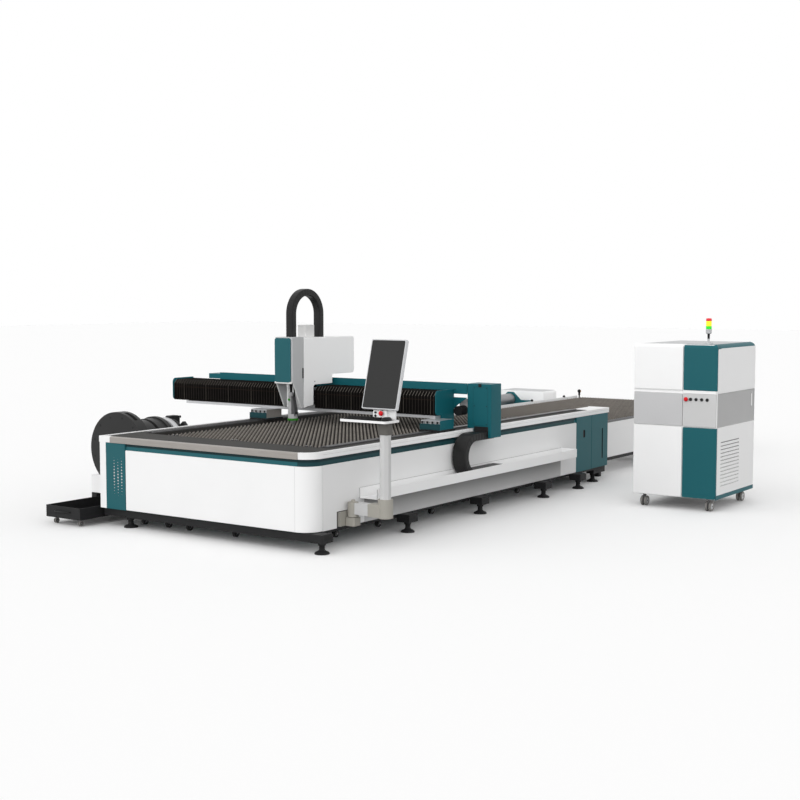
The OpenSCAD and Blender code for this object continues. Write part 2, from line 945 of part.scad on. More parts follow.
module pallet(y0, top) {
    w = 2 * (pallet_half - pallet_bar - gap);
    n = floor(w / tooth_w);
    count = floor((pallet_len - 2 * pallet_bar - slat_pitch) / slat_pitch);
    first = (pallet_len - count * slat_pitch) / 2;
    b = top - slat_h - pallet_bar_h;
    for (s = [-1, 1]) {
        span([s * (pallet_half - pallet_bar / 2) - pallet_bar / 2, y0, b],
             [s * (pallet_half - pallet_bar / 2) + pallet_bar / 2, y0 + pallet_len, top - tooth_h]);
    }
    for (y = [y0, y0 + pallet_len - pallet_bar]) {
        span([-pallet_half + pallet_bar + gap, y, b],
            [pallet_half - pallet_bar - gap, y + pallet_bar, top - tooth_h]);
    }
    for (k = [0 : pallet_cross - 1]) {
        y = y0 + (k + 1) * pallet_len / (pallet_cross + 1);
        span([-pallet_half + pallet_bar + gap, y - pallet_bar, b],
            [pallet_half - pallet_bar - gap, y + pallet_bar, top - slat_h - gap]);
    }
    for (s = [0, 1], k = wheel_shares) mirror([s, 0, 0]) {
        rod_x(y0 + k * pallet_len, b + pallet_wheel_r, pallet_wheel_r, pallet_half - pallet_bar / 2,
            pallet_half + wheel_out);
    }
    for (i = [0 : count]) {
        translate([0, y0 + first + i * slat_pitch + slat_t / 2, top - slat_h])
            rotate([90, 0, 0]) linear_extrude(slat_t) polygon(slat_pts(w, slat_h, n));
    }
}

module pallet_upper() color([0.42, 0.4, 0.38]) place() pallet(pallet_y, slat_z);

module pallet_lower() color([0.4, 0.38, 0.36]) place() pallet(table_pallet_y, table_z);

module gantry_beam() color([0.6, 0.6, 0.62]) place() {
    span([-beam_left, beam_front, beam_z], [beam_right, gantry_y, beam_top]);
    span([-beam_left + beam_plate_l, bellows_y + end_lead, beam_z - beam_plate_t],
        [beam_right - gap, gantry_y, beam_z]);
    for (z = beam_rail_zs) span([-beam_left, beam_front - beam_rail_t, z],
        [beam_right, beam_front, z + beam_rail_h]);
}

module gantry_tray() color([0.11, 0.37, 0.4]) place() {
    x0 = -tray_left + tray_step;
    x1 = bed_half - leg_in;
    span([x0, gantry_y, tray_back_z], [beam_right, gantry_y + tray_t, tray_top]);
    span([x0, gantry_y, tray_slit_z], [x1, gantry_y + tray_t, tray_top]);
    span([x0, gantry_y + tray_t / 2, tray_b], [x1, gantry_y + tray_d - tray_t / 2, tray_b + tray_t]);
    span([x0, gantry_y + tray_d - tray_t, tray_b],
        [x1, gantry_y + tray_d, tray_top - tray_back_drop]);
    translate([0, gantry_y + tray_t, 0]) rotate([90, 0, 0]) linear_extrude(tray_t)
        polygon([[beam_right, stay_low], [beam_right + stay_w, stay_low + stay_rise], [x1, stay_top],
            [beam_right - tray_t, stay_top], [beam_right - tray_t, tray_back_z], [beam_right, tray_back_z]]);
    span([-tray_left, gantry_y, tray_cap_z0], [x0, gantry_y + tray_d, tray_cap_z1]);
    span([-tray_left, gantry_y, tray_cap_z0], [x0 + tray_t, gantry_y + tray_t, tray_cap_z1]);
}

module leg_box() color([0.11, 0.37, 0.4]) place() {
    x0 = bed_half - leg_in;
    x1 = x0 + leg_w;
    difference() {
        plate_z([x0 + gap, gantry_y, leg_z], [x1, gantry_y + leg_d, tray_top], edge_r);
        span([x0 - cut, gantry_y - cut, leg_z - cut],
            [bed_half + leg_side, gantry_y + leg_d + cut, leg_step_z]);
        span([chain_x - chain_w / 2 - slot_room, gantry_y - cut, leg_z - cut],
             [chain_x + chain_w / 2 + slot_room, gantry_y + chain_in + slot_room, leg_slot_top]);
    }
    span([x0 - bracket_w, gantry_y + bracket_in, beam_z],
        [x0 + leg_side, gantry_y + bracket_in + bracket_t, bracket_top]);
    rod_y(x0 - drive_in, drive_z, drive_r, gantry_y - drive_lead,
        gantry_y + bracket_in + bracket_t / 2);
}

module gantry_feet() color([0.35, 0.37, 0.38]) place() {
    y0 = gantry_y - foot_lead;
    y1 = y0 + foot_len;
    z1 = foot_b + foot_pad_h;
    z2 = z1 + foot_box_h;
    z3 = beam_z - beam_plate_t;
    for (s = [0, 1]) mirror([s, 0, 0]) {
        difference() {
            span([guide_x - foot_w / 2, y0, foot_b], [guide_x + foot_w / 2, y1, z1]);
            span([guide_x - rail_w / 2 - foot_room, y0 - cut, foot_b - cut],
                [guide_x + rail_w / 2 + foot_room, y1 + cut, deck_top + rail_h + foot_room]);
            span([guide_x - rack_off - rack_w / 2 - foot_room, y0 - cut, foot_b - cut],
                 [guide_x - rack_off + rack_w / 2 + foot_room, y1 + cut, deck_top + rack_h + foot_room]);
        }
        span([guide_x - foot_w / 2 + edge_r, y0 + edge_r, z1],
            [guide_x + foot_w / 2 - edge_r, y1 - edge_r, z2]);
        difference() {
            span([guide_x - foot_w / 2 + edge_r, y0 + edge_r, z2],
                [guide_x + foot_w / 2 - edge_r, y1 - edge_r, z3]);
            for (i = [0 : comb_n - 1]) {
                x = guide_x - foot_w / 2 + edge_r + (i + half_share) * (foot_w - 2 * edge_r) / comb_n;
                w = comb_share * foot_w / comb_n;
                span([x - w / 2, y0 - cut, z2 - cut],
                    [x + w / 2, y0 + edge_r + comb_t, z2 + comb_depth_share * (z3 - z2)]);
            }
        }
    }
}

// folded outline of a bellows wall: zigzag on one side, flat on the other
function folds(x0, x1, n, deep, back) = concat([for (i = [0 : n - 1]) each [
    [x0 + i * (x1 - x0) / n, deep], [x0 + (i + half_share) * (x1 - x0) / n, 0]]],
        [[x1, deep], [x1, back], [x0, back]]);

module bellows(x0, x1) {
    n = round((x1 - x0) / fold_w);
    back = fold_d + bellows_wall;
    translate([0, bellows_y, bellows_z]) linear_extrude(bellows_top - bellows_z - fold_d - bellows_wall)
        polygon(folds(x0, x1, n, fold_d, back));
    translate([0, gantry_y - gap, bellows_top]) rotate([90, 0, 0]) linear_extrude(bellows_d - gap - fold_d)
        mirror([0, 1]) polygon(folds(x0, x1, n, fold_d, back - gap));
}

module bellows_left() color([0.12, 0.11, 0.1]) place() {
    bellows(-beam_left + gap, saddle_x - saddle_w / 2 - gap);
}

module bellows_right() color([0.12, 0.11, 0.1]) place() {
    bellows(saddle_x + saddle_w / 2 + gap, beam_right - gap);
}

module bellows_ends() color([0.15, 0.35, 0.38]) place() {
    y0 = bellows_y - end_lead;
    for (x = [-beam_left - end_t, beam_right]) {
        plate_x([x, y0, beam_z], [x + end_t, gantry_y, bellows_top + end_rise], end_r);
        span([x, (y0 + gantry_y) / 2, beam_z], [x + end_t, gantry_y, bellows_top + end_rise]);
    }
    span([beam_right, gantry_y - foot_lead + foot_len + seam, end_low],
        [beam_right + end_t, gantry_y, beam_z]);
}

module link_run(len, w, t) {
    n = max(1, round(len / link_len));
    span([-w * chain_core_share / 2, 0, -t * chain_core_share / 2],
        [w * chain_core_share / 2, len, t * chain_core_share / 2]);
    for (i = [0 : n - 1]) {
        y = (i + half_share) * len / n;
        l = chain_link_share * len / n;
        span([-w / 2, y - l / 2, -t / 2], [w / 2, y + l / 2, t / 2]);
    }
}

// half-round bend of links about the X axis, opening towards +Y
module link_bend(r, w, t) {
    n = floor(PI * (r - t / 2) / link_len);
    rotate([90, 0, 90]) {
        translate([0, 0, -w * chain_core_share / 2]) linear_extrude(w * chain_core_share) intersection() {
            difference() {
                circle(r - t * (1 - chain_core_share) / 2);
                circle(r - t + t * (1 - chain_core_share) / 2);
            }
            translate([-r, -r]) square([r, 2 * r]);
        }
        for (i = [0 : n - 1]) {
            a = 90 + (i + half_share) * 180 / n;
            l = chain_link_share * PI * (r - t) / n;
            rotate(a) translate([r - t * half_share, 0, 0]) cube([t * bend_share, l, w], center = true);
        }
    }
}

module x_chain() color([0.18, 0.18, 0.18]) place() {
    up = gantry_y + chain_in - chain_y;
    translate([chain_x, chain_y, chain_zc]) link_bend(chain_r, chain_w, chain_t);
    translate([chain_x, chain_y, chain_zc + chain_r - chain_t / 2]) link_run(up, chain_w, chain_t);
    translate([chain_x, chain_y, chain_zc - chain_r + chain_t / 2]) link_run(up + chain_tail, chain_w,
        chain_t);
}

module saddle() color([0.93, 0.93, 0.93]) place() {
    x0 = saddle_x - saddle_w / 2;
    x1 = saddle_x + saddle_w / 2;
    slab_x([[saddle_front, saddle_low], [saddle_nose_y, saddle_nose], [saddle_nose_y, saddle_mid],
        [saddle_step, saddle_mid],
        [saddle_step, saddle_high], [saddle_back - saddle_r, saddle_high],
            [saddle_back, saddle_high + saddle_r],
        [saddle_back, saddle_top - saddle_r], [saddle_back - saddle_r, saddle_top],
            [saddle_front, saddle_top]], x0, x1);
    for (z = block_zs) {
        span([x0 + saddle_r, saddle_nose_y, z],
            [x1 - saddle_r, beam_front - beam_rail_t - gap, z + block_h]);
        span([x0 + saddle_r, saddle_nose_y - saddle_r, max(z, saddle_nose)],
            [x1 - saddle_r, saddle_nose_y + saddle_r, z + block_h]);
    }
}

module motor_cover() color([0.95, 0.95, 0.95]) place() {
    plate_x([saddle_x - motor_w / 2, motor_y0, saddle_top],
        [saddle_x + motor_w / 2, motor_y1, saddle_top + motor_h], motor_r);
}

module z_chain() color([0.15, 0.15, 0.15]) place() {
    translate([saddle_x, lift_y, lift_zc]) {
        rotate([-90, 0, 0]) link_bend(lift_r, lift_w, lift_t);
        translate([0, -lift_r + lift_t / 2, 0]) rotate([-90, 0, 0]) link_run(lift_zc - head_top - gap,
            lift_w, lift_t);
        translate([0, lift_r - lift_t / 2, 0]) rotate([-90, 0, 0]) link_run(lift_zc - saddle_top - gap,
            lift_w, lift_t);
    }
}

module head_box() color([0.72, 0.73, 0.74]) place() {
    x0 = head_x - head_w / 2;
    x1 = head_x + head_w / 2;
    plate_z([x0, head_front, head_b], [x1, head_back, head_top], edge_r);
    for (x = [x0, x1 - gusset_t]) {
        slab_x([[head_front + edge_r, head_b], [head_back - edge_r, head_b],
            [head_back - edge_r, gusset_b], [head_back - edge_r - gusset_foot, gusset_b]], x, x + gusset_t);
    }
}

module head_cover() color([0.19, 0.38, 0.41]) place() {
    plate_y([head_x - head_w / 2 + cover_in / 2, head_front - cover_t, head_b + cover_in],
        [head_x + head_w / 2 - cover_in * 2, head_front, head_top - cover_in], cover_r);
}

module laser_head() color([0.75, 0.76, 0.78]) place() {
    x = head_x + head_side;
    y = head_front + head_lead;
    z1 = tip_z + nozzle_h;
    rod_z(x, y, collar_r, head_b - collar_h, head_b);
    rod_z(x, y, head_r, z1 + ring_h, head_b - collar_h);
    rod_z(x, y, band_r, band_z - band_t, band_z);
    rod_z(x, y, ring_r, z1, z1 + ring_h);
    translate([x, y, tip_z]) cylinder(r1 = nozzle_tip_r, r2 = nozzle_r, h = nozzle_h);
    span([x + head_r * half_share, y - head_block_d / 2, head_block_z],
        [x + head_r + block_w, y + head_block_d / 2, head_block_z + head_block_h]);
}

module console_bracket() color([0.3, 0.3, 0.31]) place() {
    x0 = bed_half - panel_t;
    yc = notch_y + notch_w / 2;
    span([x0, yc - brack_w / 2, brack_z0], [x0 + brack_t, yc + brack_w / 2, panel_z + notch_h - 2 * seam]);
    plate_z([x0 + brack_t, arm_y - hub_r, brack_z0], [arm_x + hub_r, arm_y + hub_r, brack_lug], edge_r);
    rod_z(arm_x, arm_y, pin_r, brack_lug, hub_z1 + pin_r);
}

module console_arm() color([0.85, 0.85, 0.84]) place() {
    difference() {
        union() {
            rod_z(arm_x, arm_y, hub_r, hub_z0, hub_z1);
            span([arm_x, arm_y - arm_tube_w / 2 + arm_dy / 2, arm_tube_z0],
                [post_x0, arm_y + arm_tube_w / 2 + arm_dy / 2, arm_tube_z1]);
            rod_z(post_x0, post_y0, elbow_r, elbow_z0, elbow_z1);
        }
        rod_z(arm_x, arm_y, pin_r + pin_clear, hub_z0 - cut, hub_z1 + cut);
    }
    translate([post_x0, post_y0, elbow_z1]) rotate(180 / 8) cylinder(r = post_r,
        h = joint_z - gap - elbow_z1, $fn = 8);
}

module console_joint() color([0.62, 0.61, 0.58]) place() {
    plate_z([post_x0 - joint_w / 2, post_y0 - joint_d / 2, joint_z],
        [post_x0 + joint_w / 2, post_y0 + joint_d / 2, console_z], joint_r);
}

module console_tray() color([0.88, 0.88, 0.87]) place() {
    difference() {
        plate_z([tray_x0, tray_y0, console_z],
            [tray_x0 + console_w, tray_y0 + console_d, console_z + tray_lip], tray_r);
        plate_z([tray_x0 + tray_lip_t, tray_y0 + tray_lip_t, console_z + tray_floor],
                [tray_x0 + console_w - tray_lip_t, tray_y0 + console_d - tray_lip_t,
                    console_z + tray_lip + cut], tray_r - tray_lip_t);
    }
    x = post_x0 + mast_dx;
    span([x - mast_w / 2, mast_y, console_z + tray_floor],
        [x + mast_w / 2, mast_y + mast_d, mon_z + mast_rise]);
}

module keyboard() color([0.2, 0.2, 0.2]) place() {
    plate_z([tray_x0 + key_in, tray_y0 + key_in * half_share, console_z + tray_floor],
        [tray_x0 + key_in + key_w, tray_y0 + key_in * half_share + key_d,
            console_z + tray_floor + key_h], key_r);
}

module mouse() color([0.12, 0.12, 0.12]) place() {
    x1 = tray_x0 + console_w - mouse_in;
    y0 = tray_y0 + mouse_in * 2;
    plate_z([x1 - mouse_w, y0, console_z + tray_floor],
        [x1, y0 + mouse_d, console_z + tray_floor + mouse_h], mouse_w * quarter_share);
}

module switch_box() color([0.94, 0.94, 0.94]) place() {
    difference() {
        plate_y([switch_x - switch_w / 2, switch_y, switch_z],
            [switch_x + switch_w / 2, switch_y + switch_d, switch_z + switch_h], key_r);
        stop_seat(switch_x + estop_share * switch_w, switch_y, switch_z + stop_z_share * switch_h);
    }
}

module mushroom(x, y, z) {
    rod_y(x, z, estop_stem_r, y - estop_h + estop_cap_h, y + stop_in);
    rod_y(x, z, estop_r, y - estop_h, y - estop_h + estop_cap_h);
}

module stop_seat(x, y, z) {
    rod_y(x, z, estop_stem_r + gap, y - cut, y + stop_in + stop_press);
}

module console_estop() color([0.8, 0.08, 0.1]) place() {
    mushroom(switch_x + estop_share * switch_w, switch_y, switch_z + stop_z_share * switch_h);
}

module console_buttons() color([0.08, 0.08, 0.08]) place() {
    for (s = [-1, 1]) {
        rod_y(switch_x - button_dx_share * switch_w,
            switch_z + switch_h * (half_share + s * button_dz_share), button_r, switch_y - button_h,
                switch_y);
    }
}

module monitor_at() {
    translate([mon_x, mon_y, mon_z]) rotate([-monitor_tilt, 0, 0]) children();
}

module monitor() color([0.7, 0.71, 0.72]) place() monitor_at() {
    plate_y([-monitor_w / 2, -monitor_t, 0], [monitor_w / 2, 0, monitor_h], edge_r);
}

module monitor_screen() color([0.1, 0.1, 0.1]) place() monitor_at() {
    plate_y([-monitor_w / 2 + screen_in, -monitor_t - screen_t, screen_in],
        [monitor_w / 2 - screen_in, -monitor_t, monitor_h - screen_in], edge_r);
}

module tube_bed() color([0.86, 0.86, 0.86]) place() {
    y1 = house_rear_y + house_rear_len;
    span([tube_x - track_w / 2, track_y0, track_z0], [tube_x + track_w / 2, y1, track_z1]);
    for (s = [-1, 1]) {
        x = tube_x + s * (track_w / 2 - tie_w / 2);
        span([x - tie_w / 2, ped_y1 + gap, track_z0], [x + tie_w / 2, track_y0, tie_z]);
    }
    for (s = [-1, 1]) {
        x = tube_x + s * (track_w / 2 - track_rail_w);
        span([x - track_rail_w / 2, track_y0, track_z1],
            [x + track_rail_w / 2, house_rear_y - seam, track_z1 + track_rail_h]);
        for (k = track_leg_shares)
            let (y = track_y0 + k * (y1 - track_y0))
                span([x - track_leg / 2 + s * track_rail_w * quarter_share, y - track_leg / 2, 0],
                     [x + track_leg / 2 - s * track_rail_w * quarter_share, y + track_leg / 2, track_z0 - gap]);
    }
}

module chuck_housing() color([0.9, 0.9, 0.9]) place() {
    span([tube_x - ped_l, ped_y0, ped_z0], [tube_x + ped_r, ped_y1, ped_z1]);
    difference() {
        union() {
            rod_y(tube_x, tube_z, house_ring_r, house_y0, house_y1);
            span([tube_x - house_ring_r, house_y0, ped_z1], [tube_x + house_ring_r, house_y1, tube_z]);
        }
        rod_y(tube_x, tube_z, hub_rotor_r + house_clear, house_y0 - cut, house_y1 + cut);
    }
    for (s = [-1, 1], y = [ped_y0, ped_y1 - ped_leg]) {
        x = tube_x + (ped_r - ped_l) / 2 + s * ((ped_l + ped_r) / 2 - ped_leg / 2);
        span([x - ped_leg / 2, y, 0], [x + ped_leg / 2, y + ped_leg, ped_z0 - gap]);
    }
}

module chuck_rotor() color([0.24, 0.24, 0.24]) place() {
    y1 = disc_y + disc_t;
    difference() {
        union() {
            rod_y(tube_x, tube_z, disc_r, disc_y, y1);
            rod_y(tube_x, tube_z, hub_rotor_r, y1, spin_y0);
            rod_y(tube_x, tube_z, spin_r, spin_y0, spin_flange_y);
            rod_y(tube_x, tube_z, spin_flange_r, spin_flange_y, spin_y1);
            rod_y(tube_x, tube_z, neck_r, spin_y1, jaw_ring_y0);
        }
        rod_y(tube_x, tube_z, tube_r, disc_y - cut, jaw_ring_y0 + cut);
        translate([tube_x, 0, tube_z]) rotate([0, -rim_slot_turn, 0])
            span([disc_r - rim_slot_d, rim_slot_y0, -rim_slot_w / 2],
                [disc_r + cut, rim_slot_y1, rim_slot_w / 2]);
    }
}

module chuck_jaws() color([0.5, 0.5, 0.5]) place() {
    difference() {
        rod_y(tube_x, tube_z, jaw_ring_r, jaw_ring_y0, jaw_ring_y1);
        rod_y(tube_x, tube_z, tube_r, jaw_ring_y0 - cut, jaw_ring_y1 + cut);
    }
    for (a = [45, 135, 225, 315]) translate([tube_x, 0, tube_z]) rotate([0, a, 0]) {
        span([jaw_r0, jaw_ring_y1, -jaw_w / 2], [jaw_r1, jaw_y1, jaw_w / 2]);
    }
}

module rear_slide() color([0.17, 0.38, 0.42]) place() {
    z0 = track_z1 + track_rail_h + rear_clear;
    z1 = z0 + rear_base_h;
    span([tube_x - track_w / 2, rear_y - rear_len, z0], [tube_x + track_w / 2, rear_y + rear_plate_t, z1]);
    difference() {
        translate([tube_x, rear_y + rear_plate_t, tube_z]) rotate([90, 0, 0])
            linear_extrude(rear_plate_t) polygon([
                [-rear_wide_half, z1 - tube_z], [rear_wide_half, z1 - tube_z],
                [rear_wide_half, -rear_wing_drop], [rear_mid_half, -rear_wing_drop],
                [rear_top_half, rear_top_rise], [-rear_top_half, rear_top_rise],
                [-rear_mid_half, -rear_wing_drop], [-rear_wide_half, -rear_wing_drop]]);
        rod_y(tube_x, tube_z, rear_neck_r + house_clear, rear_y - cut, rear_y + rear_plate_t + cut);
    }
}

module rear_drum() color([0.55, 0.55, 0.55]) place() {
    difference() {
        union() {
            rod_y(tube_x, tube_z, drum_r, rear_y - rear_drum_len, rear_y - gap);
            rod_y(tube_x, tube_z, rear_neck_r, rear_y - gap, rear_y + rear_plate_t * 2);
        }
        rod_y(tube_x, tube_z, rear_bore, rear_y - rear_drum_len - cut, rear_y + rear_plate_t * 2 + cut);
    }
}

module rear_housing() color([0.94, 0.94, 0.94]) place() {
    x = tube_x + house_rear_dx;
    plate_y([x - house_rear_w / 2, house_rear_y, track_z1 + gap],
        [x + house_rear_w / 2, house_rear_y + house_rear_len, house_rear_z], house_rear_r);
}

module cart() color([0.2, 0.2, 0.2]) place() {
    x0 = cart_x - cart_w / 2;
    x1 = cart_x + cart_w / 2;
    y1 = cart_y + cart_len;
    z1 = cart_z + cart_h;
    difference() {
        span([x0, cart_y, cart_z], [x1, y1, z1]);
        span([x0 + cart_wall, cart_y + cart_wall, cart_z + cart_wall],
            [x1 - cart_wall, y1 - cart_wall, z1 + cut]);
        plate_y([cart_x - cart_slot_w / 2, cart_y - cut, cart_z + cart_h / 2 - cart_slot_h / 2],
                [cart_x + cart_slot_w / 2, cart_y + cart_slot_d, cart_z + cart_h / 2 + cart_slot_h / 2],
                    cart_slot_h * quarter_share);
    }
}

module cart_casters() color([0.45, 0.45, 0.45]) place() {
    for (x = [cart_x - cart_w / 2 + caster_in, cart_x + cart_w / 2 - caster_in],
        y = [cart_y + caster_in, cart_y + cart_len - caster_in]) {
        caster(x, y, cart_z, wheel_r, wheel_t, fork_w * half_share);
    }
}

module cab_outline(i) {
    w = cab_w - 2 * i;
    h = cab_z - cab_b - i;
    translate([-w / 2, 0]) square([w, h - cab_r]);
    translate([-w / 2 + cab_r, 0]) square([w - 2 * cab_r, h]);
    for (s = [-1, 1]) translate([s * (w / 2 - cab_r), h - cab_r]) circle(cab_r);
}

module cabinet_shell() color([0.92, 0.92, 0.92]) place() {
    xr = cab_x + cab_w;
    difference() {
        translate([cab_x + cab_w / 2, cab_y1, cab_b]) rotate([90, 0,
            0]) linear_extrude(cab_d - cab_skin) cab_outline(0);
        for (i = [0 : vent_rows - 1]) {
            z = cab_b + (cab_m0 - cab_b) * (vent_low_share + vent_span_share * i / vent_rows);
            y = cab_face + cab_d * vent_y_share;
            span([xr - vent_deep, y, z], [xr + cut, y + vent_slot_w, z + vent_slot_h]);
        }
        span([xr - vent_deep, cab_face + cab_seam, cab_m0], [xr + cut, cab_y1 - cab_seam, cab_m1]);
    }
    span([cab_x + cab_door_in, cab_y, cab_m1 + cab_strip], [cab_split - cab_seam, cab_face, cab_z - cab_r]);
    difference() {
        span([cab_split + cab_seam, cab_y, cab_m0 + cab_seam],
            [xr - cab_door_in, cab_face, cab_m1 - cab_seam]);
        stop_seat(cab_stop_x, cab_y, cab_key_z);
    }
    hz = cab_b + handle_z_share * (cab_z - cab_b);
    span([xr - vent_deep, cab_y1 - handle_in - handle_w / 2, hz],
        [xr - cab_seam / 4, cab_y1 - handle_in + handle_w / 2, hz + handle_h]);
}

module cabinet_trim() color([0.17, 0.38, 0.42]) place() {
    span([cab_split + cab_seam, cab_y, cab_m1 + cab_seam],
        [cab_x + cab_w - cab_door_in, cab_face - gap, cab_z - cab_r]);
}

module door_leaf(x0, x1) {
    plate_y([x0, cab_y, cab_b + cab_seam], [x1, cab_face - gap, cab_m0 - cab_seam], cab_panel_r);
}

module cabinet_door_l() color([0.95, 0.95, 0.95]) place() door_leaf(cab_x + cab_door_in,
    cab_split - cab_seam);

module cabinet_door_r() color([0.17, 0.38, 0.42]) place() door_leaf(cab_split + cab_seam,
    cab_x + cab_w - cab_door_in);

module cabinet_window() color([0.7, 0.71, 0.72]) place() {
    plate_y([cab_x + cab_door_in, cab_y, cab_m0 + cab_seam],
        [cab_split - cab_seam, cab_face - gap, cab_m1 - cab_seam], cab_panel_r);
}

module cabinet_estop() color([0.8, 0.08, 0.1]) place() {
    mushroom(cab_stop_x, cab_y, cab_key_z);
}

module cabinet_buttons() color([0.08, 0.08, 0.08]) place() {
    for (s = cab_button_x_shares) rod_y(cab_split + s * cab_right_w, cab_key_z, cab_button_r,
        cab_y - button_h, cab_y);
}

module signal_tower() color([0.5, 0.5, 0.5]) place() {
    x = cab_x + tower_x_share * cab_w;
    y = cab_face + tower_in;
    z1 = cab_z + tower_flange_h;
    z2 = z1 + tower_pole_h;
    rod_z(x, y, tower_flange_r, cab_z, z1);
    rod_z(x, y, tower_pole_r, z1, z2);
    rod_z(x, y, tower_r, z2, z2 + tower_base_h);
    for (i = [0 : 2]) {
        z = z2 + tower_base_h + i * (tower_lamp_h + tower_seam);
        rod_z(x, y, tower_r - tower_seam, z, z + tower_seam);
        rod_z(x, y, tower_r, z + tower_seam, z + tower_seam + tower_lamp_h);
    }
}

module cabinet_casters() color([0.4, 0.4, 0.4]) place() {
    for (x = [cab_x + cab_caster_in, cab_x + cab_w - cab_caster_in],
        y = [cab_y + cab_caster_in, cab_y1 - cab_caster_in]) {
        caster(x, y, cab_b, cab_wheel_r, cab_wheel_t, fork_w);
    }
}

base_frame();
levelling_feet();
bed_shell();
front_panel();
vent_panel();
side_panels();
bed_rim();
front_bar();
bed_deck();
guide_rails();
service_door();
chain_trough();
base_rollers();
exchange_frame();
exchange_panels();
pallet_upper();
pallet_lower();
gantry_beam();
gantry_tray();
leg_box();
gantry_feet();
bellows_left();
bellows_right();
bellows_ends();
x_chain();
saddle();
motor_cover();
z_chain();
head_box();
head_cover();
laser_head();
console_bracket();
console_arm();
console_joint();
console_tray();
keyboard();
mouse();
switch_box();
console_estop();
console_buttons();
monitor();
monitor_screen();
tube_bed();
chuck_housing();
chuck_rotor();
chuck_jaws();
rear_slide();
rear_drum();
rear_housing();
cart();
cart_casters();
cabinet_shell();
cabinet_trim();
cabinet_door_l();
cabinet_door_r();
cabinet_window();
cabinet_estop();
cabinet_buttons();
signal_tower();
cabinet_casters();
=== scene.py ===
"""Looks of a sheet and tube laser cutter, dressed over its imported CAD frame.

Places are written in the machine's own millimetres: x across the bed, y from the bed's front towards the
exchange table, z up from the floor. place() turns them into the frame's metres.
"""

import json
import math

import bmesh
import bpy
from mathutils import Matrix, Vector

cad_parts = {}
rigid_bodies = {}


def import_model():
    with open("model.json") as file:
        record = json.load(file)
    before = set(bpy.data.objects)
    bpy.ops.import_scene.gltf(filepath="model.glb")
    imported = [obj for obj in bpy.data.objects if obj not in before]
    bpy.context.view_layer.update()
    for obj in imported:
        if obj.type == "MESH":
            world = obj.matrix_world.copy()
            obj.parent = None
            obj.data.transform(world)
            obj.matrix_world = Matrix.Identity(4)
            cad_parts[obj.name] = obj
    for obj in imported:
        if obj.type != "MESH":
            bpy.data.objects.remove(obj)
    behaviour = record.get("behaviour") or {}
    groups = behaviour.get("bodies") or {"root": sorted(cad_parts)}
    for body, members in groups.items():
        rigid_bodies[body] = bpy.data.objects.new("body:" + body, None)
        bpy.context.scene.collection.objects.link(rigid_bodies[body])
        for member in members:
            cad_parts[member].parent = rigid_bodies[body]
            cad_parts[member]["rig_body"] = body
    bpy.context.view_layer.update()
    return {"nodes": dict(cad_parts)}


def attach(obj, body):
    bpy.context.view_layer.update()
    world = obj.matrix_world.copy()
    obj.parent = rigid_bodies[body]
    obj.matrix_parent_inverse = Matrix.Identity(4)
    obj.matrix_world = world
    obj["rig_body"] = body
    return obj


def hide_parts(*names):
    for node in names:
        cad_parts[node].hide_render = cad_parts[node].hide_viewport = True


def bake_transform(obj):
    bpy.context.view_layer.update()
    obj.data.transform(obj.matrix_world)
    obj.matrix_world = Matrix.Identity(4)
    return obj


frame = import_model()
nodes = frame["nodes"]
SCENE = bpy.context.scene

MM = 0.001
SHIFT = Vector((-331.5, -4170.5, 0.0))
AXES = {"x": Vector((1, 0, 0)), "y": Vector((0, 1, 0)), "z": Vector((0, 0, 1))}
WELD = 1e-5
FLAT_ANGLE = math.radians(1.0)
# a clearance that keeps two faces out of one plane
GAP = 0.4

# bed: its right face, its rounded front corner, and the outriggers and rear feet of its base
BED_SIDE = 1162
BEND_X = 1012
BEND_R = 150
OUTRIGGERS = (86, 1248, 2410, 3599, 4333)
REAR_FOOT_X = 1095
# gantry
GANTRY_Y = 2355
BELLOWS_Y = 2056
BELLOWS_Z = 910
BELLOWS_TOP = 1119
BEAM_LEFT = -2290
BEAM_RIGHT = 950
SADDLE_X = -520
SADDLE_HALF = 120
# cabinet
CAB_X0 = 2140
CAB_X1 = 2963
CAB_Y0 = 3640
CAB_Y1 = 4600
CAB_FACE = 3654
CAB_BASE = 118
CAB_TOP = 1535
CAB_SPLIT = 2633.8
CAB_MID0 = 776.9
CAB_MID1 = 1088.6
# console
TRAY_TOP = 1006
# tube unit
TUBE_X = -1629
TUBE_Z = 567


def place(p):
    """A point in the machine's millimetres as a point in the frame's metres."""
    return (Vector(p) + SHIFT) * MM


def shade(colour, share=1.0):
    """A display colour, 0 to 255, as the linear colour a shader takes, with a share of its strength."""
    def linear(c):
        c = c / 255
        return c / 12.92 if c <= 0.04045 else ((c + 0.055) / 1.055) ** 2.4
    return tuple(min(1.0, linear(c) * share) for c in colour) + (1.0,)


def tones(colour, *stops):
    """Ramp stops of one colour, from pairs of a position and a share."""
    return [(at, shade(colour, share)) for at, share in stops]


